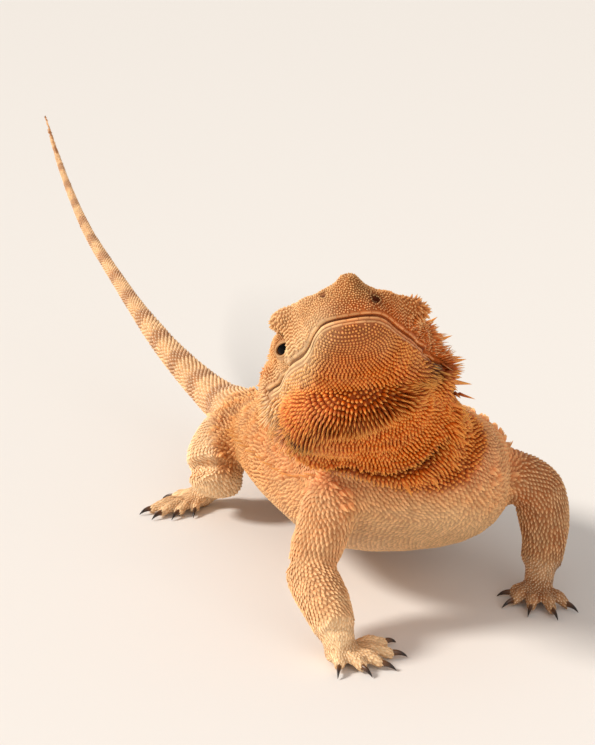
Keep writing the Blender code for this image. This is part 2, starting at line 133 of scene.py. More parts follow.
def span_to(points, place):
    """Distance from each point to a place."""
    return np.linalg.norm(points - place, axis=-1)


def circle(count):
    """Evenly spaced angles round a full turn."""
    return np.arange(count) * 2 * math.pi / count


def runs(path):
    """Distance along a path to each of its points."""
    return np.concatenate([[0], np.cumsum(np.linalg.norm(np.diff(path, axis=0), axis=1))])


def at_stops(stops, run, values):
    """A path's three-part values at distances along it."""
    return np.stack([np.interp(stops, run, values[:, k]) for k in range(3)], 1)


def smooth_row(row, rounds):
    for _ in range(rounds):
        row[1:-1] = (row[:-2] + 2 * row[1:-1] + row[2:]) / 4
    return row


# ---------------------------------------------------------------- meshes as arrays

def node_mesh(name):
    """Corner points and triangles of a solid, with equal points joined."""
    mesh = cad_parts[name].data
    points = np.empty(len(mesh.vertices) * 3)
    mesh.vertices.foreach_get("co", points)
    mesh.calc_loop_triangles()
    tris = np.empty(len(mesh.loop_triangles) * 3, np.int32)
    mesh.loop_triangles.foreach_get("vertices", tris)
    points, index = np.unique(np.round(points.reshape(-1, 3) / MM, 4), axis=0, return_inverse=True)
    tris = index.reshape(-1)[tris.reshape(-1, 3)]
    whole = (tris[:, 0] != tris[:, 1]) & (tris[:, 1] != tris[:, 2]) & (tris[:, 2] != tris[:, 0])
    return points, tris[whole]


def crosses(corner):
    """Each triangle's normal, twice as long as its area, from its three corners."""
    first = corner[..., 0, :]
    return np.cross(corner[..., 1, :] - first, corner[..., 2, :] - first)


def point_normals(points, tris):
    face = crosses(points[tris])
    total = np.zeros_like(points)
    for k in range(3):
        for axis in range(3):
            total[:, axis] += np.bincount(tris[:, k], face[:, axis], len(points))
    return unit(total)


def edges_of(tris):
    pairs = np.concatenate([tris[:, [0, 1]], tris[:, [1, 2]], tris[:, [2, 0]]])
    return np.unique(np.sort(pairs, axis=1), axis=0)


def neighbour_sum(values, edges):
    """Sum of each point's neighbours' values."""
    a, b = edges.T
    return np.bincount(a, values[b], len(values)) + np.bincount(b, values[a], len(values))


def smooth(values, edges, rounds, strength=0.5, where=None):
    """Each round moves every value part of the way to the mean of its neighbours."""
    values = np.array(values, float)
    flat = values.reshape(len(values), -1)
    count = np.maximum(neighbour_sum(np.ones(len(flat)), edges), 1)
    pull = strength if where is None else strength * where
    for _ in range(rounds):
        for k in range(flat.shape[1]):
            column = flat[:, k]
            flat[:, k] = column + pull * (neighbour_sum(column, edges) / count - column)
    return flat.reshape(values.shape)


def joined(parts):
    """Several meshes, each given as points and faces, as one."""
    points, faces, total = [], [], 0
    for p, f in parts:
        points.append(p)
        faces.append(f + total)
        total += len(p)
    return np.concatenate(points), np.concatenate(faces)


def mesh_object(name, points, faces, slot, shade_smooth=True):
    mesh = bpy.data.meshes.new(name)
    mesh.from_pydata([], [], [])
    faces = np.asarray(faces, np.int32)
    mesh.vertices.add(len(points))
    mesh.vertices.foreach_set("co", (np.asarray(points) * MM).astype(np.float32).ravel())
    mesh.loops.add(faces.size)
    mesh.loops.foreach_set("vertex_index", faces.ravel())
    mesh.polygons.add(len(faces))
    mesh.polygons.foreach_set("loop_start", np.arange(len(faces), dtype=np.int32) * faces.shape[1])
    mesh.update(calc_edges=True)
    mesh.polygons.foreach_set("use_smooth", np.full(len(faces), shade_smooth))
    piece = bpy.data.objects.new(name, mesh)
    bpy.context.scene.collection.objects.link(piece)
    return piece


def paint(piece, **layers):
    """Stores named four-part values at the mesh's points."""
    for name, values in layers.items():
        stored = piece.data.attributes.new(name, "FLOAT_COLOR", "POINT")
        whole = np.zeros((len(piece.data.vertices), 4), np.float32)
        whole[:, : values.shape[1]] = values
        stored.data.foreach_set("color", whole.ravel())


def with_chance(rise, chance):
    """Shading values of a piece whose brightness is the same all over."""
    return np.stack([rise, np.full(len(rise), chance)], 1)


def tree_of(points, tris):
    return BVHTree.FromPolygons(points.tolist(), tris.tolist())


def root_tree(points):
    """A tree that finds the points near a place."""
    tree = KDTree(len(points))
    for k, p in enumerate(points.tolist()):
        tree.insert(p, k)
    tree.balance()
    return tree


# ---------------------------------------------------------------- the head's own axes

def middle(node):
    low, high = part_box(node)
    return np.array((low + high) / 2) / MM


class Head:
    """Places on the head: sideways (left is +), forwards, and towards the crown, from the mouth's front."""
    right_eye, left_eye = middle("eye_right"), middle("eye_left")
    left = unit(left_eye - right_eye)
    front = unit(np.array(HEAD_FRONT) - np.dot(HEAD_FRONT, left) * left)
    crown = np.cross(front, left)
    origin = (right_eye + left_eye) / 2 - EYE_PLACE[1] * front - EYE_PLACE[2] * crown

    @classmethod
    def local(cls, points):
        away = points - cls.origin
        return np.stack([away @ cls.left, away @ cls.front, away @ cls.crown], axis=-1)

    @classmethod
    def place(cls, x, y, z):
        return cls.origin + x * cls.left + y * cls.front + z * cls.crown


def mouth_height(local):
    """Height of the mouth line at places on the head."""
    reach = np.array(MOUTH, float)[::-1]
    level = np.interp(local[..., 1], reach[:, 0], reach[:, 1]) + MOUTH_TILT * local[..., 0]
    return level - MOUTH_SAG[0] * bump(local[..., 0] - MOUTH_SAG[1], MOUTH_SAG[2])


def mirrored(local):
    return np.abs(local) * [1, 0, 0] + local * [0, 1, 1]


def nostril_distance(local):
    near = [np.hypot(local[:, 0] - x, local[:, 2] - z) for x, z in NOSTRILS]
    return np.min(near, axis=0) + 99 * (local[:, 1] < -7)


def eye_distance(local):
    return span_to(mirrored(local), EYE_PLACE)


def ear_distance(local):
    """1 at the rim of the ear's dish."""
    away = np.sqrt(((local[:, 1] - EAR[0]) / 2.3) ** 2 + ((local[:, 2] - EAR[1]) / 3.4) ** 2)
    return away + 9 * (np.abs(local[:, 0]) < 12)


def along(local, path, width):
    """1 on a line of places on the head, falling softly to 0 about a width away."""
    near = np.full(len(local), 99.0)
    path = np.array(path, float)
    for a, b in zip(path, path[1:]):
        run = b - a
        t = np.clip((local - a) @ run / (run @ run), 0, 1)
        near = np.minimum(near, span_to(local, a + t[:, None] * run))
    return bump(near, width)


def eye_axes(side):
    """Centre, radius, outward axis and the lids' own directions of an eye (side +1 is left)."""
    name = "eye_left" if side > 0 else "eye_right"
    low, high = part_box(name)
    radius = max(high - low) / 2 / MM
    sideways, forwards, crownwards = EYE_WAY[side]
    out = unit(sideways * Head.left + forwards * Head.front + crownwards * Head.crown)
    ahead = unit(Head.front - np.dot(Head.front, out) * out)
    return middle(name), radius, out, ahead, unit(np.cross(out, ahead) * side * -1)


def lid_edge(points, side):
    """1 at the edge of the eye's opening, with each point's way from the eye and how far it faces out."""
    centre, radius, out, ahead, top = eye_axes(side)
    away = points - centre
    way = unit(away)
    u, v = way @ ahead * radius, way @ top * radius
    edge = np.sqrt((u / LID_OPEN[0]) ** 2 + (v / np.where(v > 0, LID_OPEN[1], LID_OPEN[2])) ** 2)
    facing = way @ out
    return np.where(facing > 0.1, edge, 99), way, facing, np.linalg.norm(away, axis=1)


# ---------------------------------------------------------------- skin

def flatten_spines(points, tris):
    """Lays each spine's tip back on the flesh, and returns the roots and tips of the spines."""
    edges = edges_of(tris)
    a, b = edges.T
    run = points[b] - points[a]
    length = np.linalg.norm(run, axis=1)
    way = run / length[:, None]
    n = len(points)
    neighbours = neighbour_sum(np.ones(n), edges)
    count = np.maximum(neighbours, 1)
    reach = (np.bincount(a, length, n) + np.bincount(b, length, n)) / count
    lean = np.stack([np.bincount(a, way[:, k], n) - np.bincount(b, way[:, k], n) for k in range(3)], 1)
    lean = np.linalg.norm(lean, axis=1) / count
    foot = np.stack([neighbour_sum(points[:, k], edges) for k in range(3)], 1) / count[:, None]
    tips = (lean > 0.82) & (reach > 1.7) & (neighbours > 2)
    flat = points.copy()
    flat[tips] = foot[tips]
    return flat, foot[tips], points[tips]


def largest_island(count, edges):
    """Labels joined points and keeps the label that most of them share."""
    label = np.arange(count)
    a, b = edges.T
    while True:
        low = np.minimum(label[a], label[b])
        new = label.copy()
        np.minimum.at(new, a, low)
        np.minimum.at(new, b, low)
        new = new[new]
        if (new == label).all():
            return label == np.bincount(label).argmax()
        label = new


def swell_of(name):
    """The eyes and the feet swell more than the rest."""
    if name.startswith("eye"):
        return 0.60
    return 0.45 if name.endswith("foot") else SWELL


def join_solids():
    """All the flesh as one closed mesh, and the spines that stood on it."""
    parts, roots, tips = [], [], []
    for name in FLESH + ("eye_left", "eye_right"):
        points, tris = node_mesh(name)
        if name in SPINY:
            points, root, tip = flatten_spines(points, tris)
            roots.append(root)
            tips.append(tip)
        parts.append((points + swell_of(name) * point_normals(points, tris), tris))
    raw = mesh_object("raw_skin", *joined(parts), None)
    remesh = raw.modifiers.new("one skin", "REMESH")
    remesh.mode = "VOXEL"
    remesh.voxel_size = CELL * MM
    view = raw.evaluated_get(bpy.context.evaluated_depsgraph_get())
    mesh = bpy.data.meshes.new_from_object(view)
    bpy.data.objects.remove(raw)
    return mesh, np.concatenate(roots), np.concatenate(tips)


def refine(mesh, rounds):
    """Splits the faces where the zones of each round say so, and returns points and triangles."""
    bm = bmesh.new()
    bm.from_mesh(mesh)
    bmesh.ops.triangulate(bm, faces=bm.faces)
    for zone in rounds:
        points = np.array([v.co for v in bm.verts]) / MM
        inside = zone(points)
        bm.verts.index_update()
        cut = [e for e in bm.edges if inside[e.verts[0].index] and inside[e.verts[1].index]]
        bmesh.ops.subdivide_edges(bm, edges=cut, cuts=1, use_grid_fill=True)
        bmesh.ops.triangulate(bm, faces=[f for f in bm.faces if len(f.verts) > 3])
    points = np.array([v.co for v in bm.verts]) / MM
    tris = np.array([[v.index for v in f.verts] for f in bm.faces])
    bm.free()
    return points, tris


def head_zone(points):
    local = Head.local(points)
    return (local[:, 1] > -47) & (local[:, 1] < 12) & (local[:, 2] > -16) & (np.abs(local[:, 0]) < 32)


def face_zone(points):
    """Lips, nostrils and lids."""
    local = Head.local(points)
    mouth = (np.abs(local[:, 2] - mouth_height(local)) < 1.4) & (local[:, 1] > -40)
    nose = (local[:, 1] > -5) & (local[:, 2] > 4)
    ears = (ear_distance(local) < 1.7) & (local[:, 2] > -9)
    return head_zone(points) & (mouth | nose | ears | (eye_distance(local) < 7.6))


def carve_face(points, normals):
    """Mouth line with its lips, nostrils, ears, creases round the eyes, and the lids over them."""
    local = Head.local(points)
    forward, up = local[:, 1], local[:, 2]
    on_head = head_zone(points)
    gap = up - mouth_height(local)
    reach = ramp(MOUTH_CORNER - 3, MOUTH_CORNER + 1, forward)
    rise = reach * (-0.9 * bump(gap, 0.38) + 0.12 * bump(gap - 1.2, 0.8) + 0.12 * bump(gap + 1.2, 0.8))
    nostril = nostril_distance(local)
    rise += 0.30 * bump(nostril - 1.45, 0.5) - (1.2 + 0.7 * (local[:, 0] > 0)) * bump(nostril, 0.9)
    ear = ear_distance(local)
    rise += 0.30 * bump(ear - 1.25, 0.2) - 1.2 * ramp(1.15, 0.75, ear)
    rise -= 0.3 * bump(eye_distance(local) - 6.2, 0.8) * ramp(8, 14, np.abs(local[:, 0]))
    points = points + normals * (rise * on_head)[:, None]
    for side in (1, -1):
        edge, way, facing, away = lid_edge(points, side)
        radius = eye_axes(side)[1]
        lid = radius + 0.50 - 1.3 * ramp(1.12, 0.88, edge)
        near = ramp(0.10, 0.50, facing) * ramp(7.4, 5.4, away)
        points = points + way * ((lid - away) * near)[:, None]
    return points


def carve_folds(points, normals):
    """Creases under the throat, behind the beard and before the right eye."""
    local = Head.local(points)
    depth = np.zeros(len(points))
    for path, deep, width in FOLDS:
        crease = along(local, path, width)
        depth += deep * crease - 0.3 * deep * (along(local, path, 2.6 * width) - crease)
    return points - normals * depth[:, None]


# ---------------------------------------------------------------- lie of the scales

def slices(name, toward, step=7.0):
    """Middle points of a solid's slices across the way that it runs."""
    points, tris = node_mesh(name)
    corner = points[tris]
    size = np.linalg.norm(crosses(corner), axis=1)
    centre = corner.mean(1)
    reach = centre @ toward
    low, high = reach.min(), reach.max()
    count = max(2, int((high - low) / step))
    where = np.clip(((reach - low) / (high - low) * count).astype(int), 0, count - 1)
    rows = []
    for k in range(count):
        pick = where == k
        if pick.sum() > 3:
            rows.append((centre[pick] * size[pick, None]).sum(0) / size[pick].sum())
    return rows


def resample(path, step):
    """The path with evenly spaced points and soft turns."""
    path = np.array(path)
    run = runs(path)
    stops = np.linspace(0, run[-1], max(3, int(run[-1] / step)))
    return smooth_row(at_stops(stops, run, path), 6)


def middle_lines():
    """Middle line of the body from snout to tail tip, and of each leg to its foot, a point a millimetre."""
    path = [Head.place(0, y, -1.0) for y in np.arange(3, -54, -6)]
    path += slices("neck", unit(middle("trunk") - middle("neck")))[1:]
    path += slices("trunk", np.array([0, 1.0, 0]))
    chain = ("trunk", *TAIL, "tail_4")
    for before, name, ahead in zip(chain, chain[1:], chain[2:]):
        path += slices(name, unit(middle(ahead) - middle(before)))
    lines = {"body": resample(path, 1.0)}
    for leg in LEGS:
        upper, lower, foot = (middle(f"{leg}_{part}") for part in PARTS)
        path = slices(f"{leg}_upper", unit(lower - upper), 4.0)
        path += slices(f"{leg}_lower", unit(foot - upper), 4.0)
        lines[leg] = resample(path + [foot], 1.0)
    return lines


def line_of(name):
    """The middle line that a solid belongs to."""
    return next((leg for leg in LEGS if name.startswith(leg)), "body")


def kind_of(name):
    """The entry of PITCH for a solid."""
    if name in PITCH:
        return name
    return "tail" if name in TAIL else name.split("_")[-1]


def claw_ends(leg, k):
    points, _ = node_mesh(f"claw_{leg}_{k}")
    tip = points[span_to(points, middle(f"{leg}_foot")).argmax()]
    far = span_to(points, tip)
    return points[far > 0.75 * far.max()].mean(0), tip


def toe_ways(leg):
    """Roots of a foot's claws and the ways that they point."""
    roots, tips = zip(*(claw_ends(leg, k) for k in range(1, 6)))
    return np.array(roots), unit(np.array(tips) - np.array(roots))


def toe_furrows(points):
    """1 in the furrows between neighbouring toes."""
    furrow = np.zeros(len(points))
    for leg in LEGS:
        near = span_to(points, middle(f"{leg}_foot")) < 24
        away = []
        for root, way in zip(*toe_ways(leg)):
            from_root = points[near] - root
            back = np.clip(-dot(from_root, way), 0, 8)
            away.append(np.linalg.norm(from_root + back[:, None] * way, axis=1))
        away = np.sort(away, axis=0)
        furrow[near] = np.maximum(furrow[near], bump(away[1] - away[0], 1.3) * ramp(4.2, 2.8, away[0]))
    return furrow


class Shares:
    """Places that know how much of each solid they belong to."""

    def part(self, *names):
        return sum(self.share[:, FLESH.index(n)] for n in names)


class Skin(Shares):
    """The bare skin as arrays, with what every scale needs to know at each of its points."""

    def __init__(self):
        mesh, self.spine_roots, self.spine_tips = join_solids()
        points, tris = refine(mesh, (face_zone, face_zone))
        edges = edges_of(tris)
        keep = largest_island(len(points), edges)
        number = np.cumsum(keep) - 1
        tris = number[tris[keep[tris[:, 0]]]]
        points = points[keep]
        self.tris, self.edges = tris, edges_of(tris)
        for _ in range(7):
            points = smooth(points, self.edges, 1, 0.6)
            points = smooth(points, self.edges, 1, -0.62)
        fine = face_zone(points).astype(float)
        points = smooth(points, self.edges, 8, 0.5, fine)
        normals = smooth(point_normals(points, tris), self.edges, 2)
        points = points - unit(normals) * (COAT + SWELL)
        points = carve_folds(points, unit(smooth(point_normals(points, tris), self.edges, 4)))
        points = carve_face(points, unit(smooth(point_normals(points, tris), self.edges, 3)))
        points = points - point_normals(points, tris) * (0.55 * toe_furrows(points))[:, None]
        points[:, 2] = np.maximum(points[:, 2], SKIN_FLOOR)
        self.points = points
        self.local = Head.local(points)
        self.normals = point_normals(points, tris)
        self.tree = tree_of(points, tris)
        self.find_owners()
        self.find_lie()
        self.find_pitch()

    def find_owners(self):
        """Share of each solid in every point, blended softly over the cuts."""
        solids = [node_mesh(name) for name in FLESH]
        owner = np.repeat(np.arange(len(FLESH)), [len(tris) for _, tris in solids])
        tree = tree_of(*joined(solids))
        found = np.array([tree.find_nearest(p)[2] for p in self.points.tolist()])
        self.owner = owner[found]
        share = np.zeros((len(self.points), len(FLESH)))
        share[np.arange(len(share)), self.owner] = 1
        self.share = smooth(share, self.edges, 14, 0.6)

    def find_lie(self):
        """Way in which the scales lie: back along the body and down the legs to the claws."""
        self.lines = middle_lines()
        self.station = np.zeros(len(self.points))
        self.turn = np.zeros(len(self.points))
        lie = np.zeros_like(self.points)
        for line_name, line in self.lines.items():
            own = np.array([line_of(FLESH[k]) == line_name for k in range(len(FLESH))])[self.owner]
            way = unit(np.gradient(line, axis=0))
            index = np.concatenate([
                np.linalg.norm(block[:, None] - line[None], axis=2).argmin(1)
                for block in np.array_split(self.points[own], max(1, own.sum() // 4000))])
            lie[own] = way[index]
            self.station[own] = index
            side = unit(np.cross(way, UP))
            top = np.cross(side, way)
            away = self.points[own] - line[index]
            self.turn[own] = np.arctan2(dot(away, side[index]), dot(away, top[index])) / (2 * math.pi)
        for leg in LEGS:
            own = self.owner == FLESH.index(f"{leg}_foot")
            roots, ways = toe_ways(leg)
            away = np.linalg.norm(self.points[own][:, None] - roots[None], axis=2)
            weight = np.exp(-(away / 4.0) ** 2) + 1e-6
            lie[own] = unit(weight @ ways)
        for _ in range(4):
            lie = smooth(lie, self.edges, 5, 0.6)
            lie = unit(lie - dot(lie, self.normals)[:, None] * self.normals)
        self.lie = lie

    def find_pitch(self):
        pitch = np.zeros(len(self.points))
        for k, name in enumerate(FLESH):
            pitch += self.share[:, k] * PITCH[kind_of(name)]
        tail = self.part("tail_3", "tail_4")
        face = self.part("head", "lower_jaw")
        fine = 0.34 * ramp(-18, -4, self.local[:, 1]) + 0.50 * ramp(8.5, 5.0, eye_distance(self.local))
        belly = 0.18 * self.part("trunk") * ramp(-0.2, -0.7, self.normals[:, 2])
        self.pitch = pitch * (1 - 0.25 * tail) * (1 - face * np.clip(fine, 0, 0.5)) * (1 - belly)


# ---------------------------------------------------------------- seeds

def shoot_ring(skin, centre, axis, top, owners):
    """Where rays round a middle line meet the skin, which of them meet the owners, and the pitch there."""
    side = np.cross(axis, top)
    hits, owned, pitches = [], [], []
    for j in range(RAYS):
        angle = 2 * math.pi * j / RAYS
        ray = math.cos(angle) * top + math.sin(angle) * side
        spot, _, face, _ = skin.tree.ray_cast(centre, ray, REACH)
        if spot is None:
            hits.append(centre + ray)
            owned.append(False)
            continue
        corner = skin.tris[face][0]
        hits.append(np.array(spot))
        owned.append(skin.owner[corner] in owners)
        pitches.append(skin.pitch[corner])
    return hits, owned, pitches


def ring_seeds(skin, line_name, names):
    """Rows of roots across a limb or the body, each row shifted by half a scale from the last."""
    line = skin.lines[line_name]
    way = unit(np.gradient(line, axis=0))
    owners = {FLESH.index(n) for n in names}
    found = []
    place, row, top = 0.0, 0, UP
    while place < len(line) - 1:
        k = int(place)
        centre = line[k] + (line[min(k + 1, len(line) - 1)] - line[k]) * (place - k)
        top = unit(top - np.dot(top, way[k]) * way[k])
        hits, owned, pitches = shoot_ring(skin, centre, way[k], top, owners)
        step = float(np.median(pitches)) if pitches else 1.5
        if any(owned):
            ring = np.array(hits + hits[:1])
            run = runs(ring)
            count = max(6, int(round(run[-1] / step)))
            stops = (np.arange(count) + 0.5 * (row % 2)) / count * run[-1]
            on = np.interp(stops, run, np.array(owned + owned[:1], float)) > 0.5
            found.append(at_stops(stops, run, ring)[on])
        place += step * ROW
        row += 1
    return np.concatenate(found)


def scatter(skin, count):
    """Random places all over the skin."""
    corner = skin.points[skin.tris]
    a, b, c = corner[:, 0], corner[:, 1], corner[:, 2]
    area = np.linalg.norm(crosses(corner), axis=1) / skin.pitch[skin.tris[:, 0]] ** 2
    face = DRAW.choice(len(area), count, p=area / area.sum())
    u, v = DRAW.random((2, count, 1))
    fold = (u + v) > 1
    u, v = np.where(fold, 1 - u, u), np.where(fold, 1 - v, v)
    return a[face] + u * (b - a)[face] + v * (c - a)[face]


def nearest(skin, points):
    """Closest place of the skin and its face for each point."""
    spots, faces = [], []
    for p in points.tolist():
        spot, _, face, _ = skin.tree.find_nearest(p)
        spots.append(spot)
        faces.append(face)
    return np.array(spots), np.array(faces)


def thin_out(points, gap):
    """Indices of the points that stay when each keeps its gap to the ones before it."""
    tree = root_tree(points)
    alive = np.ones(len(points), bool)
    for k, p in enumerate(points.tolist()):
        if alive[k]:
            for _, other, _ in tree.find_range(p, gap[k]):
                if other > k:
                    alive[other] = False
    return np.flatnonzero(alive)


def relax(skin, points, pitch, rounds):
    """Pushes crowded roots apart until they sit about a pitch from each other."""
    for _ in range(rounds):
        tree = root_tree(points)
        near = np.array([[(hit[1], hit[2]) for hit in tree.find_n(p, 7)[1:]] for p in points.tolist()])
        other = near[:, :, 0].astype(int)
        gap = np.maximum(near[:, :, 1], 1e-6)
        push = np.maximum(0, pitch[:, None] * 1.02 - gap) / gap
        move = ((points[:, None] - points[other]) * push[:, :, None]).sum(1) * 0.32
        points, _ = nearest(skin, points + move)
    return points


def scale_places(skin):
    """Roots of all the scales: rows round body and legs, then fillers, pushed to an even spacing."""
    rows = [ring_seeds(skin, "body", BODY)]
    for leg in LEGS:
        rows.append(ring_seeds(skin, leg, [f"{leg}_upper", f"{leg}_lower"]))
    rows.append(scatter(skin, FILLERS))
    points, faces = nearest(skin, np.concatenate(rows))
    pitch = skin.pitch[skin.tris[faces]].mean(1)
    kept = thin_out(points, pitch * CLOSEST)
    return relax(skin, points[kept], pitch[kept], 4)


class Seeds(Shares):
    """Roots of scales, with the skin's values at each."""

    def __init__(self, skin, points):
        self.points, faces = nearest(skin, points)
        corners = skin.tris[faces]
        self.normals = unit(skin.normals[corners].mean(1))
        lie = unit(skin.lie[corners].mean(1))
        self.lie = unit(lie - dot(lie, self.normals)[:, None] * self.normals)
        self.across = np.cross(self.normals, self.lie)
        self.pitch = skin.pitch[corners].mean(1)
        self.owner = skin.owner[corners[:, 0]]
        self.share = skin.share[corners].mean(1)
        self.station = skin.station[corners[:, 0]]
        self.turn = skin.turn[corners[:, 0]]
        self.local = Head.local(self.points)
        self.chance = DRAW.random(len(self.points))


# ---------------------------------------------------------------- markings and painted shade

class Zones:
    """How much each place belongs to the regions that share a colour."""

    def __init__(self, at):
        self.points, self.local, self.part = at.points, at.local, at.part
        self.sideways, self.forward = at.local[:, 0], at.local[:, 1]
        self.facing_up = at.normals[:, 2]
        self.head, self.jaw, self.neck, self.trunk = (at.part(name) for name in SPINY)
        self.face = self.head + self.jaw
        self.tail = at.part(*TAIL)
        self.upper, self.lower, self.feet = (at.part(*(f"{leg}_{part}" for leg in LEGS)) for part in PARTS)
        self.left_arm = at.part(*(f"front_left_{part}" for part in PARTS))
        self.thighs = at.part("hind_left_upper", "hind_right_upper")
        self.hind = at.part("hind_left_upper", "hind_right_upper", "hind_left_lower", "hind_right_lower")
        self.chest = self.trunk * ramp(-95, -165, at.points[:, 1])
        self.below = ramp(-0.2, -0.8, self.facing_up)
        # The head's right side faces the sun: its extra pale is painted light, and the left side's extra
        # orange is painted shade.
        self.right = ramp(2, -12, self.sideways)
        self.gap = at.local[:, 2] - mouth_height(at.local)
        self.lips = self.face * ramp(6.0, 2.0, np.abs(self.gap)) * ramp(-46, -38, self.forward)


def orange_of(z):
    """Beard, neck and chest, the head's back, and the tuft; the orange on the head's left side and on the
    left lips is painted shade.
    """
    orange = z.jaw * ramp(-2.5, -7.0, z.gap) + 0.80 * z.neck
    orange += z.chest * (0.20 + 0.55 * ramp(-0.1, 0.5, z.facing_up)) + 0.12 * z.trunk
    orange += z.head * (0.35 * ramp(0, 12, z.sideways) + 0.55 * ramp(-28, -44, z.forward))
    orange += 0.30 * z.upper + 0.16 * z.lower + 0.08 * z.feet
    # The left arm's orange here is painted shade for the body's shadow on that arm.
    orange += 0.12 * z.thighs * ramp(14, 22, z.points[:, 2]) + 0.30 * z.left_arm
    orange *= 1 - 0.55 * z.below * z.trunk
    return orange + 0.75 * z.lips * (1 - z.right) + 0.5 * z.face * along(z.local, TUFTS[0], 5.0)


def pale_of(z):
    """Feet, tail and belly, low hind legs, and the lips with the jaw's edge; the extra pale on the right
    lips and on the head's right side is painted light.
    """
    pale = 0.45 * z.tail + 0.5 * z.lower + 0.95 * z.feet + 0.35 * z.upper
    pale += z.chest * (0.30 + 0.35 * z.below) + 0.40 * z.trunk * z.below
    edge = z.jaw * along(mirrored(z.local), JAW_EDGE, 3.4)
    pale += (0.05 + 0.80 * z.right) * np.maximum(z.lips, edge)
    pale += z.head * z.right * (0.28 * ramp(-30, -22, z.forward) + 0.22 * ramp(-20, -8, z.forward))
    pale += z.jaw * (0.15 * ramp(-14, -3, z.forward) + 0.14 * z.right + 0.5 * along(z.local, TUFTS[1], 4.0))
    return pale + 0.95 * z.hind * ramp(48, 34, z.points[:, 2])


def dark_of(z):
    """Spots and fringe of the beard and the nape, with painted shade in the nostrils, on the snout's left
    flank, in the creases, between the toes, under the belly and on the left arm.
    """
    dark = z.jaw * sum(0.85 * bump(span_to(z.local, spot), 4.4) for spot in DARK_SPOTS)
    # The line on the snout's left flank is painted shade.
    dark += 0.44 * z.jaw * along(z.local, FRINGE, 3.4) + 0.34 * z.head * along(z.local, SNOUT_PAINTED_SHADE, 2.2)
    dark += 0.85 * bump(span_to(z.local, NAPE), 5.0)
    # The dark in the throat crease and in the crease before the right eye is painted shade.
    dark += 0.9 * along(z.local, FOLDS[0][0], 1.6) + 0.4 * z.head * along(z.local, FOLDS[2][0], 1.0)
    # The dark in the nostrils is painted shade in the holes, wider at the left nostril on the shaded side.
    dark += 0.95 * z.face * bump(nostril_distance(z.local), 0.9 + 0.5 * (z.sideways > 0))
    # The dark between the toes is painted shade in the furrows.
    dark += 0.20 * z.feet * toe_furrows(z.points)
    # The dark on the left arm is painted shade for the body's shadow on that arm.
    # The dark on the trunk where it faces down is painted shade under the body.
    return dark + 0.14 * z.lips + 0.40 * z.left_arm + 0.24 * z.trunk * z.below


def bands_of(z):
    """Faint bands across the back and the tail."""
    wave = 0.5 + 0.5 * np.sin(z.points[:, 1] * 2 * math.pi / BAND_EVERY)
    return ramp(0.45, 0.9, wave) * (z.tail + 0.6 * z.trunk * ramp(0.1, 0.6, z.facing_up))


def markings(at):
    """How orange, how pale, how dark and how banded each place of the skin or root of a scale is, with
    painted shade among the markings.
    """
    zones = Zones(at)
    dark = dark_of(zones)
    pale = pale_of(zones) * (1 - 0.85 * np.clip(1.3 * dark, 0, 1))
    return np.clip(np.stack([orange_of(zones), pale, dark, bands_of(zones)], 1), 0, 1)


# ---------------------------------------------------------------- scales

def build_scales(name, slot, seeds, pick, points, faces, rise, spread, mark, shade_smooth):
    """Joins the picked scales into one piece with their root patches, markings and shading values.

    Rise and spread belong to the points of one scale and are the same for all.
    """
    n, per = points.shape[:2]
    offset = (np.arange(n) * per)[:, None, None]
    all_faces = (np.asarray(faces)[None] + offset).reshape(-1, 3)
    flat = points.reshape(-1, 3)
    flat[:, 2] = np.maximum(flat[:, 2], FLOOR)
    piece = mesh_object(name, flat, all_faces, slot, shade_smooth)
    shade = np.stack([np.tile(rise, n), np.repeat(seeds.chance[pick], per)], 1)
    paint(piece, marking=np.repeat(mark[pick], per, axis=0), scale=shade)
    root_patches(piece, seeds, pick, all_faces, spread)
    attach(piece, "root")
    return piece


PATCH = 0.0015        # half width of a scale's patch on the unwrap


def root_patches(piece, seeds, pick, all_faces, spread):
    """Gives each scale a small patch at its root's place on the skin's unwrap: one strip for each solid."""
    owner = seeds.owner[pick]
    strips = {k: j for j, k in enumerate(np.unique(owner))}
    column = np.array([strips[k] for k in owner])
    u = (column + 0.03 + 0.94 * ((seeds.turn[pick] + 0.5) % 1.0)) / len(strips)
    v = np.zeros(len(owner))
    for k in strips:
        own = owner == k
        reach = seeds.station[pick][own]
        low, high = reach.min(), max(reach.max(), reach.min() + 1)
        v[own] = 0.01 + 0.98 * (reach - low + seeds.chance[pick][own]) / (high - low + 1)
    uv = (np.stack([u, v], 1)[:, None] + spread[None] * PATCH).reshape(-1, 2)
    unwrap = piece.data.uv_layers.new(name="OFBake")
    unwrap.data.foreach_set("uv", np.clip(uv[all_faces.ravel()], 0, 1).astype(np.float32).ravel())


def fan(ring, centre, flip=False):
    """Triangles from a ring to a point."""
    faces = []
    for k in range(len(ring)):
        a, b = ring[k], ring[(k + 1) % len(ring)]
        faces.append((b, a, centre) if flip else (a, b, centre))
    return faces


def band(lower, upper):
    """Triangles between two rings."""
    faces = []
    n = len(lower)
    for k in range(n):
        a, b, c, d = lower[k], lower[(k + 1) % n], upper[(k + 1) % n], upper[k]
        faces += [(a, b, c), (a, c, d)]
    return faces


def tube(count, sides, closed=False):
    """Rings of points that follow each other, and the triangles between them."""
    rings = [list(range(k * sides, (k + 1) * sides)) for k in range(count)]
    faces = []
    for low, high in zip(rings, rings[1:] + (rings[:1] if closed else [])):
        faces += band(low, high)
    return rings, faces


# Rings of a thorn: height, radius of a bead and of a spine, rise, and reach of its patch
THORN = ((0.0, 1.0, 1.0, 0.0, 1.0), (0.26, 0.92, 0.72, 0.32, 0.7), (0.66, 0.62, 0.40, 0.80, 0.4))
THORN_SIDES = 6


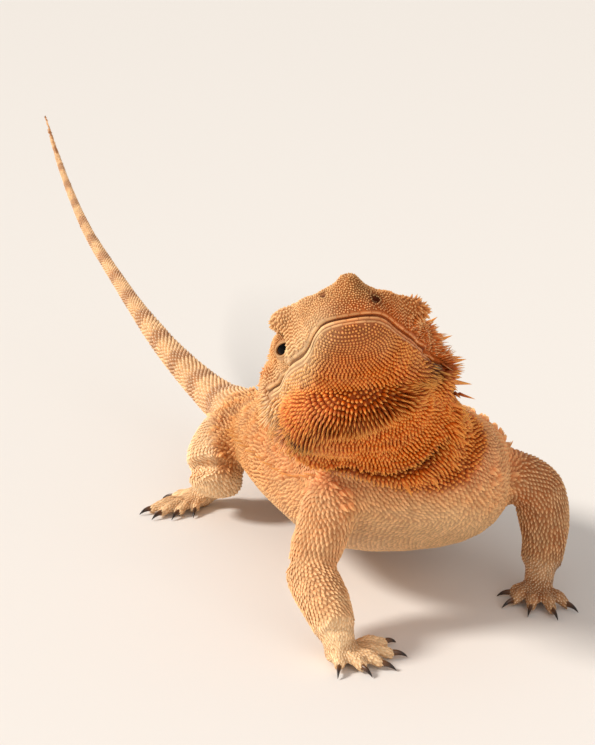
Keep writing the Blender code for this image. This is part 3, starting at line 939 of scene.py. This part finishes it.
def thorn_rings(seeds, pick, s):
    """Points of every thorn: its rings, its tip and the middle of its root."""
    pitch = seeds.pitch[pick][:, None, None]
    jitter = (0.85 + 0.3 * seeds.chance[pick])[:, None, None]
    length = pitch * jitter * (0.66 + 3.3 * s)
    radius = pitch * (0.47 - 0.12 * s)
    lean = np.radians(10 + 38 * np.minimum(1, 2 * s) - 12 * s)
    normal, lie, across = (v[pick][:, None] for v in (seeds.normals, seeds.lie, seeds.across))
    axis = np.cos(lean) * normal + np.sin(lean) * lie
    front = np.cos(lean) * lie - np.sin(lean) * normal
    root = seeds.points[pick][:, None]
    angle = circle(THORN_SIDES)[None, :, None]
    rows = []
    for height, bead, spine, _, _ in THORN:
        r = radius * (bead + (spine - bead) * s)
        forward, lift = (front, axis * length * height) if height else (lie, -0.25 * pitch * normal)
        ring = root + np.cos(angle) * r * (1.0 + 0.25 * s) * forward + np.sin(angle) * r * across
        rows.append(ring + lift)
    return np.concatenate(rows + [root + axis * length, root - 0.3 * pitch * normal], axis=1)


def thorn_scales(name, slot, seeds, pick, spiky, mark):
    """Scales that are round beads where spiky is 0 and grow into leaning spines where it is 1."""
    pick = np.flatnonzero(pick)
    points = thorn_rings(seeds, pick, spiky[pick][:, None, None])
    angle = circle(THORN_SIDES)
    patch = np.stack([np.cos(angle), np.sin(angle)], 1)
    spread = np.concatenate([patch * ring[4] for ring in THORN] + [np.zeros((2, 2))])
    rise = np.concatenate([np.full(THORN_SIDES, ring[3]) for ring in THORN] + [[1.0, 0.0]])
    rings, faces = tube(len(THORN), THORN_SIDES)
    tip = len(THORN) * THORN_SIDES
    faces += fan(rings[-1], tip) + fan(rings[0], tip + 1, flip=True)
    return build_scales(name, slot, seeds, pick, points, faces, rise, spread, mark, True)


def lip_line(skin, gap):
    """The skin's points and normals at a height above the mouth line, from one corner round to the other."""
    side_places = np.arange(MOUTH_CORNER + 0.5, LIP_TURN, 0.6)
    shots = [((0, y), (-1.0, 0.0)) for y in side_places]
    turn = np.linspace(-math.pi / 2, math.pi / 2, 90)
    shots += [((0, LIP_TURN), (math.sin(angle), math.cos(angle))) for angle in turn]
    shots += [((0, y), (1.0, 0.0)) for y in side_places[::-1]]
    found, normals = [], []
    for (x, y), (across, ahead) in shots:
        way = across * Head.left + ahead * Head.front
        level = mouth_height(np.array([x, y])) + gap
        for _ in range(4):
            spot, _, face, _ = skin.tree.ray_cast(Head.place(x, y, level), way, REACH)
            if spot is None:
                break
            level = mouth_height(Head.local(np.array(spot))) + gap
        if spot is not None:
            found.append(spot)
            normals.append(skin.normals[skin.tris[face]].mean(0))
    found, normals = np.array(found, float), unit(smooth_row(np.array(normals), 6))
    return smooth_row(found, 2), normals


PLATE_LENGTH = 2.8
PLATE_ALONG = np.array([-1, -0.86, -0.4, 0.4, 0.86, 1.0])
PLATE_ACROSS = np.array([-1, -0.7, 0, 0.7, 1.0])


def plate_row(skin, gap, tall, shift, s, t, dome):
    """Points and middles of the plates that follow each other along one line round the mouth."""
    path, normal = lip_line(skin, gap)
    run = runs(path)
    rows, centres = [], []
    for k in range(int(run[-1] / PLATE_LENGTH)):
        centre = (k + shift) * PLATE_LENGTH + PLATE_LENGTH / 2
        stops = np.clip(centre + s * PLATE_LENGTH * 0.497, 0, run[-1])
        spot, up = at_stops(stops, run, path), unit(at_stops(stops, run, normal))
        rise = np.cross(unit(spot[-1] - spot[0]), up)
        rise = unit(rise * np.sign(dot(rise, Head.crown))[:, None])
        rows.append(spot + rise * (t * tall * 0.48)[:, None] + up * (0.26 * dome - 0.12)[:, None])
        centres.append(spot.mean(0))
    return rows, centres


def lip_plates(skin):
    """Rows of smooth oblong plates above and below the mouth."""
    s, t = [g.ravel() for g in np.meshgrid(PLATE_ALONG, PLATE_ACROSS, indexing="ij")]
    dome = (1 - 0.28 * np.abs(s) ** 8) * (1 - np.abs(t) ** 3)
    rows, centres = [], []
    for number, (gap, tall) in enumerate(LIP_ROWS):
        found = plate_row(skin, gap, tall, 0.5 * (number % 2), s, t, dome)
        rows += found[0]
        centres += found[1]
    m, n = len(PLATE_ALONG), len(PLATE_ACROSS)
    faces = []
    for i in range(m - 1):
        for j in range(n - 1):
            a, b, c, d = i * n + j, (i + 1) * n + j, (i + 1) * n + j + 1, i * n + j + 1
            faces += [(a, b, c), (a, c, d)]
    return np.array(rows), np.array(centres), np.array(faces), 0.12 + 0.72 * dome, np.stack([s, t], 1)


def turn_outward(points, faces):
    """Reverses the plates that look towards the head."""
    look = crosses(points[:, faces]).sum(1)
    flip = dot(look, points.mean(1) - Head.place(0, -20, -2)) < 0
    grid = points[flip].reshape(-1, len(PLATE_ALONG), len(PLATE_ACROSS), 3)
    points[flip] = grid[:, ::-1].reshape(-1, points.shape[1], 3)


def lips(skin, material):
    points, centres, faces, rise, spread = lip_plates(skin)
    turn_outward(points, faces)
    seeds = Seeds(skin, centres)
    everything = np.arange(len(points))
    piece = build_scales("lip_plates", "skin", seeds, everything, points, faces, rise, spread,
                         markings(seeds), True)
    piece.data.materials.append(material)


# Points of a keeled scale: along the lie, across, height and rise
KEELED = np.array((
    (-0.55, 0.0, -0.15, 0.0), (-0.10, 0.50, 0.00, 0.2), (0.38, 0.36, 0.22, 0.5), (0.86, 0.0, 0.62, 1.0),
    (0.38, -0.36, 0.22, 0.5), (-0.10, -0.50, 0.00, 0.2), (-0.08, 0.0, 0.45, 0.6), (0.42, 0.0, 0.68, 0.9),
    (0.15, 0.0, -0.35, 0.0)))
KEELED_FACES = ((0, 6, 1), (1, 6, 2), (2, 6, 7), (2, 7, 3), (3, 7, 4), (4, 7, 6), (4, 6, 5), (5, 6, 0),
                (0, 1, 8), (1, 2, 8), (2, 3, 8), (3, 4, 8), (4, 5, 8), (5, 0, 8))


def keeled_scales(name, slot, seeds, pick, mark, size, height):
    """Overlapping scales with a raised keel and a point that lifts over the next row."""
    pick = np.flatnonzero(pick)
    ahead, sideways, up, rise = (KEELED[None, :, k:k + 1] for k in range(4))
    pitch = (seeds.pitch[pick] * size[pick])[:, None, None]
    tall = pitch * height[pick][:, None, None]
    normal, lie, across = (v[pick][:, None] for v in (seeds.normals, seeds.lie, seeds.across))
    root = seeds.points[pick][:, None]
    points = root + lie * pitch * ahead * 1.12 + across * pitch * sideways * 1.1 + normal * tall * up
    return build_scales(name, slot, seeds, pick, points, KEELED_FACES, rise.ravel(), KEELED[:, :2],
                        mark, False)


# ---------------------------------------------------------------- colours and materials

def colour(*values):
    """A linear colour from its usual 0 to 255 values."""
    parts = [v / 255 / 12.92 if v <= 10 else ((v / 255 + 0.055) / 1.055) ** 2.4 for v in values]
    return (*parts, 1.0)


def feed(tree, socket, value):
    """Links a socket to another one, or gives it a value."""
    if hasattr(value, "links"):
        tree.links.new(value, socket)
    else:
        socket.default_value = value


def add(tree, kind, inputs):
    """A new node with its named inputs fed."""
    node = tree.nodes.new("ShaderNode" + kind)
    for name, value in inputs.items():
        feed(tree, node.inputs[name], value)
    return node


def mix_colours(tree, factor, first, second):
    """A colour mix; each input is a socket or a colour."""
    node = tree.nodes.new("ShaderNodeMix")
    node.data_type = "RGBA"
    for number, value in ((0, factor), (6, first), (7, second)):
        feed(tree, node.inputs[number], value)
    return node.outputs[2]


def maths(tree, kind, first, second=0.5, third=0.5, clamp=False):
    node = tree.nodes.new("ShaderNodeMath")
    node.operation = kind
    node.use_clamp = clamp
    for socket, value in zip(node.inputs, (first, second, third)):
        feed(tree, socket, value)
    return node.outputs[0]


def layer(tree, name):
    """Reads a painted layer."""
    node = tree.nodes.new("ShaderNodeAttribute")
    node.attribute_name = name
    return node


def new_group(name, inputs, outputs):
    """An empty node group, with what comes in and what goes out by name."""
    group = bpy.data.node_groups.new(name, "ShaderNodeTree")
    for way, sockets in (("INPUT", inputs), ("OUTPUT", outputs)):
        for socket, kind in sockets.items():
            group.interface.new_socket(socket, in_out=way, socket_type="NodeSocket" + kind)
    return group, group.nodes.new("NodeGroupInput").outputs, group.nodes.new("NodeGroupOutput").inputs


# The groove tone is painted shade between the scales, and the tip tone is a painted highlight on their tips.
TONES = {
    "Tan": colour(208, 146, 86), "Orange": colour(212, 100, 8), "Pale": colour(246, 206, 156),
    "Dark": colour(66, 24, 8), "Band": colour(174, 118, 76), "GrooveShade": colour(130, 56, 12),
    "TipHighlight": colour(250, 204, 140)}


def scale_colour_group():
    """Colour of a scale or of the skin between scales, from its markings and its place on the scale, with
    painted shade low down between the scales and a painted highlight on their tips.
    """
    inputs = {**dict.fromkeys(("MarkingAndShade", "Scale", *TONES), "Color"), "Patchiness": "Float"}
    group, given, result = new_group("scale colour", inputs, {"Color": "Color", "Rise": "Float"})
    orange, pale, dark = add(group, "SeparateColor", {"Color": given["MarkingAndShade"]}).outputs
    rise, chance, _ = add(group, "SeparateColor", {"Color": given["Scale"]}).outputs
    place = add(group, "TexCoord", {}).outputs["Object"]
    noise = add(group, "TexNoise", {"Scale": 160, "Detail": 3, "Vector": place})
    uneven = maths(group, "SUBTRACT", noise.outputs[0], 0.5)
    patch = maths(group, "MULTIPLY_ADD", uneven, given["Patchiness"], 0.0)
    # Painted shade where a scale meets the skin, weaker on pale places.
    groove_shade = maths(group, "MULTIPLY", maths(group, "SUBTRACT", 0.55, rise, clamp=True), 1.5)
    groove_shade = maths(group, "MULTIPLY", groove_shade, maths(group, "MULTIPLY_ADD", pale, -0.5, 1.0))
    shares = {
        "Orange": maths(group, "ADD", orange, patch, clamp=True),
        "Pale": maths(group, "SUBTRACT", pale, patch, clamp=True),
        "Band": maths(group, "MULTIPLY", layer(group, "marking").outputs["Alpha"], 0.9),
        "Dark": dark,
        "GrooveShade": groove_shade,
        # Painted highlight on the scales' tips.
        "TipHighlight": maths(group, "MULTIPLY", maths(group, "SUBTRACT", rise, 0.6, clamp=True), 2.0)}
    tone = given["Tan"]
    for name, share in shares.items():
        tone = mix_colours(group, share, tone, given[name])
    bright = maths(group, "MULTIPLY_ADD", chance, 0.34, 0.83)
    varied = add(group, "HueSaturation", {"Color": tone, "Value": bright})
    group.links.new(varied.outputs[0], result["Color"])
    group.links.new(rise, result["Rise"])
    return group


def grain_group():
    """Fine relief of horn and hide."""
    group, given, result = new_group("fine grain", {"Size": "Float"}, {"Height": "Float"})
    place = {"Vector": add(group, "TexCoord", {}).outputs["Object"], "Scale": given["Size"]}
    cells = add(group, "TexVoronoi", place)
    noise = add(group, "TexNoise", {**place, "Detail": 4})
    total = maths(group, "MULTIPLY_ADD", cells.outputs[0], 0.6, noise.outputs[0])
    group.links.new(total, result["Height"])
    return group


def surface(name, values):
    """A material with its shader's own values, and the shader."""
    material = bpy.data.materials.new(name)
    material.use_nodes = True
    shader = material.node_tree.nodes["Principled BSDF"]
    for socket, value in values.items():
        shader.inputs[socket].default_value = value
    return material, material.node_tree, shader


def relief(tree, shader, grain, size, strength):
    """Dents the surface with the fine grain."""
    fine = add(tree, "Group", {})
    fine.node_tree = grain
    fine.inputs["Size"].default_value = size
    dent = add(tree, "Bump", {"Strength": strength, "Distance": 0.0001, "Height": fine.outputs["Height"]})
    tree.links.new(dent.outputs["Normal"], shader.inputs["Normal"])


def hide_material(scale_colour, grain, name, roughness, patchiness, strength, grain_size, tones):
    material, tree, shader = surface(name, {"Roughness": roughness, "Specular IOR Level": 0.22})
    tint = add(tree, "Group", {})
    tint.node_tree = scale_colour
    marking, scale = layer(tree, "marking"), layer(tree, "scale")
    layers = {"MarkingAndShade": marking.outputs["Color"], "Scale": scale.outputs["Color"]}
    for socket, value in {**layers, **TONES, **tones, "Patchiness": patchiness}.items():
        feed(tree, tint.inputs[socket], value)
    tree.links.new(tint.outputs["Color"], shader.inputs["Base Color"])
    relief(tree, shader, grain, grain_size, strength)
    return material


# Finishes of the hide: name, roughness, patchiness, depth and fineness of the grain, and its own tones
HIDES = {
    "under": ("bare skin", 0.7, 0.3, 0.6, 1400, {"GrooveShade": colour(132, 58, 16)}),
    "beard": ("beard scales", 0.5, 0.4, 0.25, 2600,
              {"TipHighlight": colour(255, 182, 88), "GrooveShade": colour(150, 58, 2)}),
    "head": ("head scales", 0.5, 0.5, 0.25, 2600, {"GrooveShade": colour(158, 92, 42)}),
    "body": ("body scales", 0.55, 0.3, 0.25, 2600, {}),
    "leg": ("leg scales", 0.55, 0.5, 0.25, 2600,
            {"TipHighlight": colour(252, 214, 160), "GrooveShade": colour(168, 88, 30)}),
    "pale": ("pale scales", 0.55, 0.5, 0.25, 2600,
             {"TipHighlight": colour(252, 228, 192), "GrooveShade": colour(214, 148, 92)}),
}


def horn_material(grain):
    material, tree, shader = surface("claw horn", {"Roughness": 0.3})
    rise = add(tree, "SeparateColor", {"Color": layer(tree, "scale").outputs["Color"]}).outputs[0]
    share = maths(tree, "MULTIPLY", rise, 1.4, clamp=True)
    tone = mix_colours(tree, share, colour(120, 78, 46), colour(34, 20, 14))
    tree.links.new(tone, shader.inputs["Base Color"])
    relief(tree, shader, grain, 1500, 0.15)
    return material


# Pupil, iris and rim of the eye, from its front outwards
IRIS = ((0.10, (8, 6, 6)), (0.13, (58, 32, 14)), (0.24, (34, 20, 11)), (0.30, (16, 10, 7)))


def eye_material():
    material, tree, shader = surface("wet eye", {"Roughness": 0.08, "Specular IOR Level": 0.06,
                                                 "Coat Weight": 0.05, "Coat Roughness": 0.05})
    rise = add(tree, "SeparateColor", {"Color": layer(tree, "scale").outputs["Color"]}).outputs[0]
    rings = tree.nodes.new("ShaderNodeValToRGB")
    stops = rings.color_ramp.elements
    for k, (place, tone) in enumerate(IRIS):
        stop = stops[k] if k < 2 else stops.new(place)
        stop.position = place
        stop.color = colour(*tone)
    tree.links.new(rise, rings.inputs[0])
    tree.links.new(rings.outputs[0], shader.inputs["Base Color"])
    return material


def floor_material():
    return surface("pale floor", {"Base Color": colour(234, 230, 226), "Roughness": 0.9})[0]


# ---------------------------------------------------------------- eyes, lids, claws, spines

def eyeball(side, material):
    centre, radius, out, ahead, top = eye_axes(side)
    count, spokes = 39, 48
    polar = np.linspace(0, math.pi, count + 2)[1:-1]
    around = circle(spokes)[:, None]
    bulge = radius * (1 + 0.05 * bump(polar, 0.45))
    ways = np.cos(around) * ahead + np.sin(around) * top
    points = [centre + (out * math.cos(p) * r + ways * math.sin(p) * r) for p, r in zip(polar, bulge)]
    points = np.concatenate(points + [[centre + out * bulge[0]], [centre - out * radius]])
    rings, faces = tube(count, spokes)
    faces += fan(rings[0], len(points) - 2, flip=True) + fan(rings[-1], len(points) - 1)
    if side > 0:
        faces = [f[::-1] for f in faces]
    name = "eyeball_left" if side > 0 else "eyeball_right"
    piece = mesh_object(name, points, faces, "eye")
    shade = np.concatenate([np.repeat(polar / math.pi, spokes), [0.0, 1.0]])
    paint(piece, scale=np.stack([shade, shade], 1))
    piece.data.materials.append(material)
    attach(piece, "root")
    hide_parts("eye_left" if side > 0 else "eye_right")


def lid_rim(side, material):
    """The rounded edge of the lids round the opening."""
    centre, radius, out, ahead, top = eye_axes(side)
    spokes, sides = 72, 8
    around = circle(spokes)
    x = 1.04 * LID_OPEN[0] * np.cos(around)
    y = 1.04 * np.where(np.sin(around) > 0, LID_OPEN[1], LID_OPEN[2]) * np.sin(around)
    deep = np.sqrt(radius ** 2 - x ** 2 - y ** 2)
    way = unit(out * deep[:, None] + ahead * x[:, None] + top * y[:, None])
    path = centre + way * (radius + 0.28)
    run = unit(np.roll(path, -1, axis=0) - np.roll(path, 1, axis=0))
    across = np.cross(run, way)
    turn = circle(sides)
    points = (path[:, None] + 0.34 * np.cos(turn)[None, :, None] * way[:, None]
              + 0.30 * np.sin(turn)[None, :, None] * across[:, None]).reshape(-1, 3)
    _, faces = tube(spokes, sides, closed=True)
    corner = points[np.array(faces[:sides * 2])]
    if dot(crosses(corner), corner.mean(1) - path[0]).sum() < 0:
        faces = [f[::-1] for f in faces]
    name = "lid_rim_left" if side > 0 else "lid_rim_right"
    piece = mesh_object(name, points, faces, "skin")
    # Lighter on the rim's outer face and darker towards the eye: painted highlight and shade.
    shade = np.tile(0.5 + 0.3 * np.cos(turn), spokes)
    paint(piece, marking=np.tile([0.2, 0.35, 0.50, 0.0], (len(points), 1)), scale=with_chance(shade, 0.5))
    piece.data.materials.append(material)
    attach(piece, "root")


def horn(points, way_up, radii, sides, flat=1.0):
    """A closed tapering horn along a curve; the last ring closes in a point."""
    way = unit(np.gradient(points, axis=0))
    side = unit(np.cross(way, way_up))
    top = np.cross(side, way)
    angle = circle(sides)[:, None]
    rows = [p + r * (np.cos(angle) * s * flat + np.sin(angle) * t)
            for p, r, s, t in zip(points[:-1], radii, side, top)]
    corner = np.concatenate(rows + [points[-1:], points[:1]])
    rings, faces = tube(len(rows), sides)
    faces = [f[::-1] for f in faces]
    faces += fan(rings[-1], len(corner) - 2, flip=True) + fan(rings[0], len(corner) - 1)
    return corner, np.array(faces)


def horn_rise(rows, sides):
    """0 at the foot of a horn and 1 at its point."""
    return np.concatenate([np.repeat(np.linspace(0, 1, rows), sides), [1.0, 0.0]])


def bezier(a, b, c, count):
    t = np.linspace(0, 1, count)[:, None]
    return (1 - t) ** 2 * a + 2 * t * (1 - t) * b + t ** 2 * c


def claws(material):
    stops, sides = 12, 10
    parts, names = [], []
    for leg in LEGS:
        for k in range(1, 6):
            root, tip = claw_ends(leg, k)
            run = tip - root
            start = root - unit(run) * 1.0 + 0.1 * UP
            knee = root + run * 0.45 + 1.15 * UP
            path = bezier(start, knee, np.array([tip[0], tip[1], 0.25]), stops)
            radii = 0.86 * (1 - np.linspace(0, 1, stops) ** 1.6) + 0.05
            parts.append(horn(path, UP, radii, sides, 0.72))
            names.append(f"claw_{leg}_{k}")
    points, faces = joined(parts)
    points[:, 2] = np.maximum(points[:, 2], FLOOR)
    piece = mesh_object("claws", points, faces, "claw")
    rise = np.tile(horn_rise(stops - 1, sides), len(parts))
    paint(piece, scale=np.stack([rise, rise], 1))
    piece.data.materials.append(material)
    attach(piece, "root")
    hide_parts(*names)


def large_spines(skin, material):
    """The tall spines of head, neck and flanks, each bowed a little back from a broad foot."""
    stops, sides = 9, 8
    parts, owners = [], []
    tree = root_tree(skin.points)
    for root, tip in zip(skin.spine_roots, skin.spine_tips):
        _, k, _ = tree.find(root)
        normal, lie, foot = skin.normals[k], skin.lie[k], skin.points[k]
        length = np.linalg.norm(tip - foot)
        knee = (foot + tip) / 2 + normal * 0.10 * length
        path = bezier(foot - normal * 0.5, knee, tip, stops)
        radii = 0.15 * length * (1 - np.linspace(0, 1, stops)) ** 1.1 + 0.03
        parts.append(horn(path, normal + 0.01 * lie, radii, sides))
        owners.append(k)
    points, faces = joined(parts)
    piece = mesh_object("tall_spines", points, faces, "skin_beard")
    rise = np.tile(horn_rise(stops - 1, sides), len(parts))
    marks_and_shade = np.repeat(markings(skin)[owners], len(parts[0][0]), axis=0)
    # The rise climbs towards each spine's point, where the tip tone paints a highlight.
    paint(piece, marking=marks_and_shade, scale=with_chance(0.50 + 0.50 * rise, 0.6))
    piece.data.materials.append(material)
    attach(piece, "root")


def skin_piece(skin, material):
    piece = mesh_object("skin", skin.points, skin.tris, "skin")
    local = skin.local
    gap = np.abs(local[:, 2] - mouth_height(local))
    slit = bump(gap, 0.45) * ramp(MOUTH_CORNER - 3, MOUTH_CORNER, local[:, 1]) * head_zone(skin.points)
    mark = markings(skin)
    # The dark along the mouth line is painted shade in the slit between the lips.
    mark[:, 2] = np.maximum(mark[:, 2], 0.8 * slit)
    # A low rise gives the bare skin the painted shade between scales, more on the jaw and neck.
    rise = 0.28 - 0.18 * skin.part("lower_jaw", "neck")
    paint(piece, marking=mark, scale=with_chance(rise, 0.5))
    piece.data.materials.append(material)
    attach(piece, "root")
    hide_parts(*FLESH)


# ---------------------------------------------------------------- coat

def spikiness(seeds):
    """0 for beads, 1 for long spines."""
    local = seeds.local
    side, forward, up = np.abs(local[:, 0]), local[:, 1], local[:, 2]
    jaw, head, neck = seeds.part("lower_jaw"), seeds.part("head"), seeds.part("neck")
    gap = up - mouth_height(local)
    throat = jaw * (0.10 * ramp(-4, -16, forward) + 0.08 * ramp(-24, -34, forward)) * ramp(-3, -7, gap)
    fringe = 0.62 * jaw * along(local, FRINGE, 3.2)
    spots = jaw * sum(0.30 * bump(span_to(local, spot), 6.0) for spot in DARK_SPOTS)
    tufts = (head + jaw) * sum(1.1 * along(local, path, 4.2) for path in TUFTS)
    rear = (head + jaw) * ramp(-38, -49, forward) * ramp(10, 18, side) * (0.35 + 0.35 * seeds.chance)
    brow = 0.40 * head * ramp(12, 17, local[:, 0]) * ramp(-9, -16, forward) * (seeds.chance > 0.6)
    brow += 0.38 * head * bump(span_to(local, BROW), 3.2)
    return np.clip(0.03 + brow + throat + fringe + spots + np.maximum(rear, tufts) + 0.20 * neck, 0, 1.15)


def away_from_openings(seeds):
    """False over the eyes, the nostrils, the ears and the lips' plates."""
    local = seeds.local
    forward, up = local[:, 1], local[:, 2]
    gap = up - mouth_height(local)
    nostril = nostril_distance(local)
    shut = (gap < 1.20) & (gap > -1.95) & (forward > MOUTH_CORNER) | (nostril < 0.95)
    shut |= ear_distance(local) < 1.0
    for side in (1, -1):
        edge, _, _, away = lid_edge(seeds.points, side)
        shut |= (edge < 1.5) & (away < eye_axes(side)[1] + 1.0)
    return ~shut


def coat(skin, materials):
    seeds = Seeds(skin, scale_places(skin))
    mark, spiky = markings(seeds), spikiness(seeds)
    owner = np.array(FLESH)[seeds.owner]
    upward = seeds.normals[:, 2]
    trunk, feet = owner == "trunk", np.char.endswith(owner, "foot")
    tail, front = np.char.startswith(owner, "tail"), np.char.startswith(owner, "front")
    hind = np.char.startswith(owner, "hind")
    ahead = seeds.local[:, 1] > -26
    open_skin = away_from_openings(seeds)
    tall = trunk & (seeds.chance > 0.94) & (upward > 0.1)
    size = 1 + 0.5 * tall
    height = np.where(tall, 1.2, np.where(trunk & (upward < -0.4), 0.3, 0.6)) * np.where(feet, 0.55, 1.0)
    thorns = (("beard_scales", "skin_beard", (owner == "lower_jaw") & open_skin & ~ahead, "beard"),
              ("chin_scales", "skin_beard", (owner == "lower_jaw") & open_skin & ahead, "beard"),
              ("face_scales", "skin", (owner == "head") & open_skin & ahead, "head"),
              ("head_scales", "skin", (owner == "head") & open_skin & ~ahead, "head"),
              ("neck_scales", "skin_beard", owner == "neck", "beard"))
    keels = (("back_scales", "skin", trunk & (upward > -0.1), "body"),
             ("belly_scales", "skin", trunk & (upward <= -0.1), "body"),
             ("tail_scales", "skin_pale", tail, "pale"),
             ("front_leg_scales", "skin", front & ~feet, "leg"),
             ("hind_leg_scales", "skin_pale", hind & ~feet, "pale"),
             ("foot_scales", "skin", feet, "pale"))
    for name, slot, pick, material in thorns:
        thorn_scales(name, slot, seeds, pick, spiky, mark).data.materials.append(materials[material])
    for name, slot, pick, material in keels:
        keeled_scales(name, slot, seeds, pick, mark, size, height).data.materials.append(materials[material])
    lips(skin, materials["head"])


# ---------------------------------------------------------------- studio

def camera():
    """Looks down on the head from the front right, from about half a metre."""
    back = np.array([math.sin(AZIMUTH) * math.cos(ELEVATION), -math.cos(AZIMUTH) * math.cos(ELEVATION),
                     math.sin(ELEVATION)])
    data = bpy.data.cameras.new("camera")
    data.sensor_fit = "VERTICAL"
    data.sensor_height = 36
    data.lens = 85
    data.clip_start = 0.01
    seat = bpy.data.objects.new("camera", data)
    seat.location = (middle("eye_right") + AIM + back * DISTANCE) * MM
    seat.rotation_euler = Vector(-back).to_track_quat("-Z", "Y").to_euler()
    bpy.context.scene.collection.objects.link(seat)
    bpy.context.scene.camera = seat


def lamp(name, kind, place, way, power, tint, **shape):
    """A light at a place that shines along a way."""
    data = bpy.data.lights.new(name, kind)
    data.energy = power
    data.color = tint
    for key, value in shape.items():
        setattr(data, key, value)
    seat = bpy.data.objects.new(name, data)
    seat.location = place
    seat.rotation_euler = Vector(way).to_track_quat("-Z", "Y").to_euler()
    bpy.context.scene.collection.objects.link(seat)


def studio():
    bm = bmesh.new()
    bmesh.ops.create_grid(bm, x_segments=1, y_segments=1, size=6)
    mesh = bpy.data.meshes.new("floor")
    bm.to_mesh(mesh)
    bm.free()
    floor = bpy.data.objects.new("floor", mesh)
    bpy.context.scene.collection.objects.link(floor)
    mesh.materials.append(floor_material())
    lamp("window", "SUN", (0, 0, 0), (0.82, -0.28, -0.66), 3.1, (1.0, 0.95, 0.88), angle=math.radians(14))
    lamp("front fill", "AREA", (0.1, -1.5, 0.7), (-0.1, 1.38, -0.65), 4.5, (1.0, 0.96, 0.92),
         shape="DISK", size=1.2)
    world = bpy.data.worlds.new("soft room")
    world.use_nodes = True
    world.node_tree.nodes["Background"].inputs[0].default_value = (1.0, 0.965, 0.93, 1)
    world.node_tree.nodes["Background"].inputs[1].default_value = 0.50
    bpy.context.scene.world = world
    bpy.context.scene.view_settings.view_transform = "Standard"


def main():
    camera()
    scale_colour, grain = scale_colour_group(), grain_group()
    materials = {key: hide_material(scale_colour, grain, *finish) for key, finish in HIDES.items()}
    skin = Skin()
    skin_piece(skin, materials["under"])
    coat(skin, materials)
    large_spines(skin, materials["beard"])
    claws(horn_material(grain))
    wet = eye_material()
    for side in (1, -1):
        eyeball(side, wet)
        lid_rim(side, materials["head"])
    studio()


main()
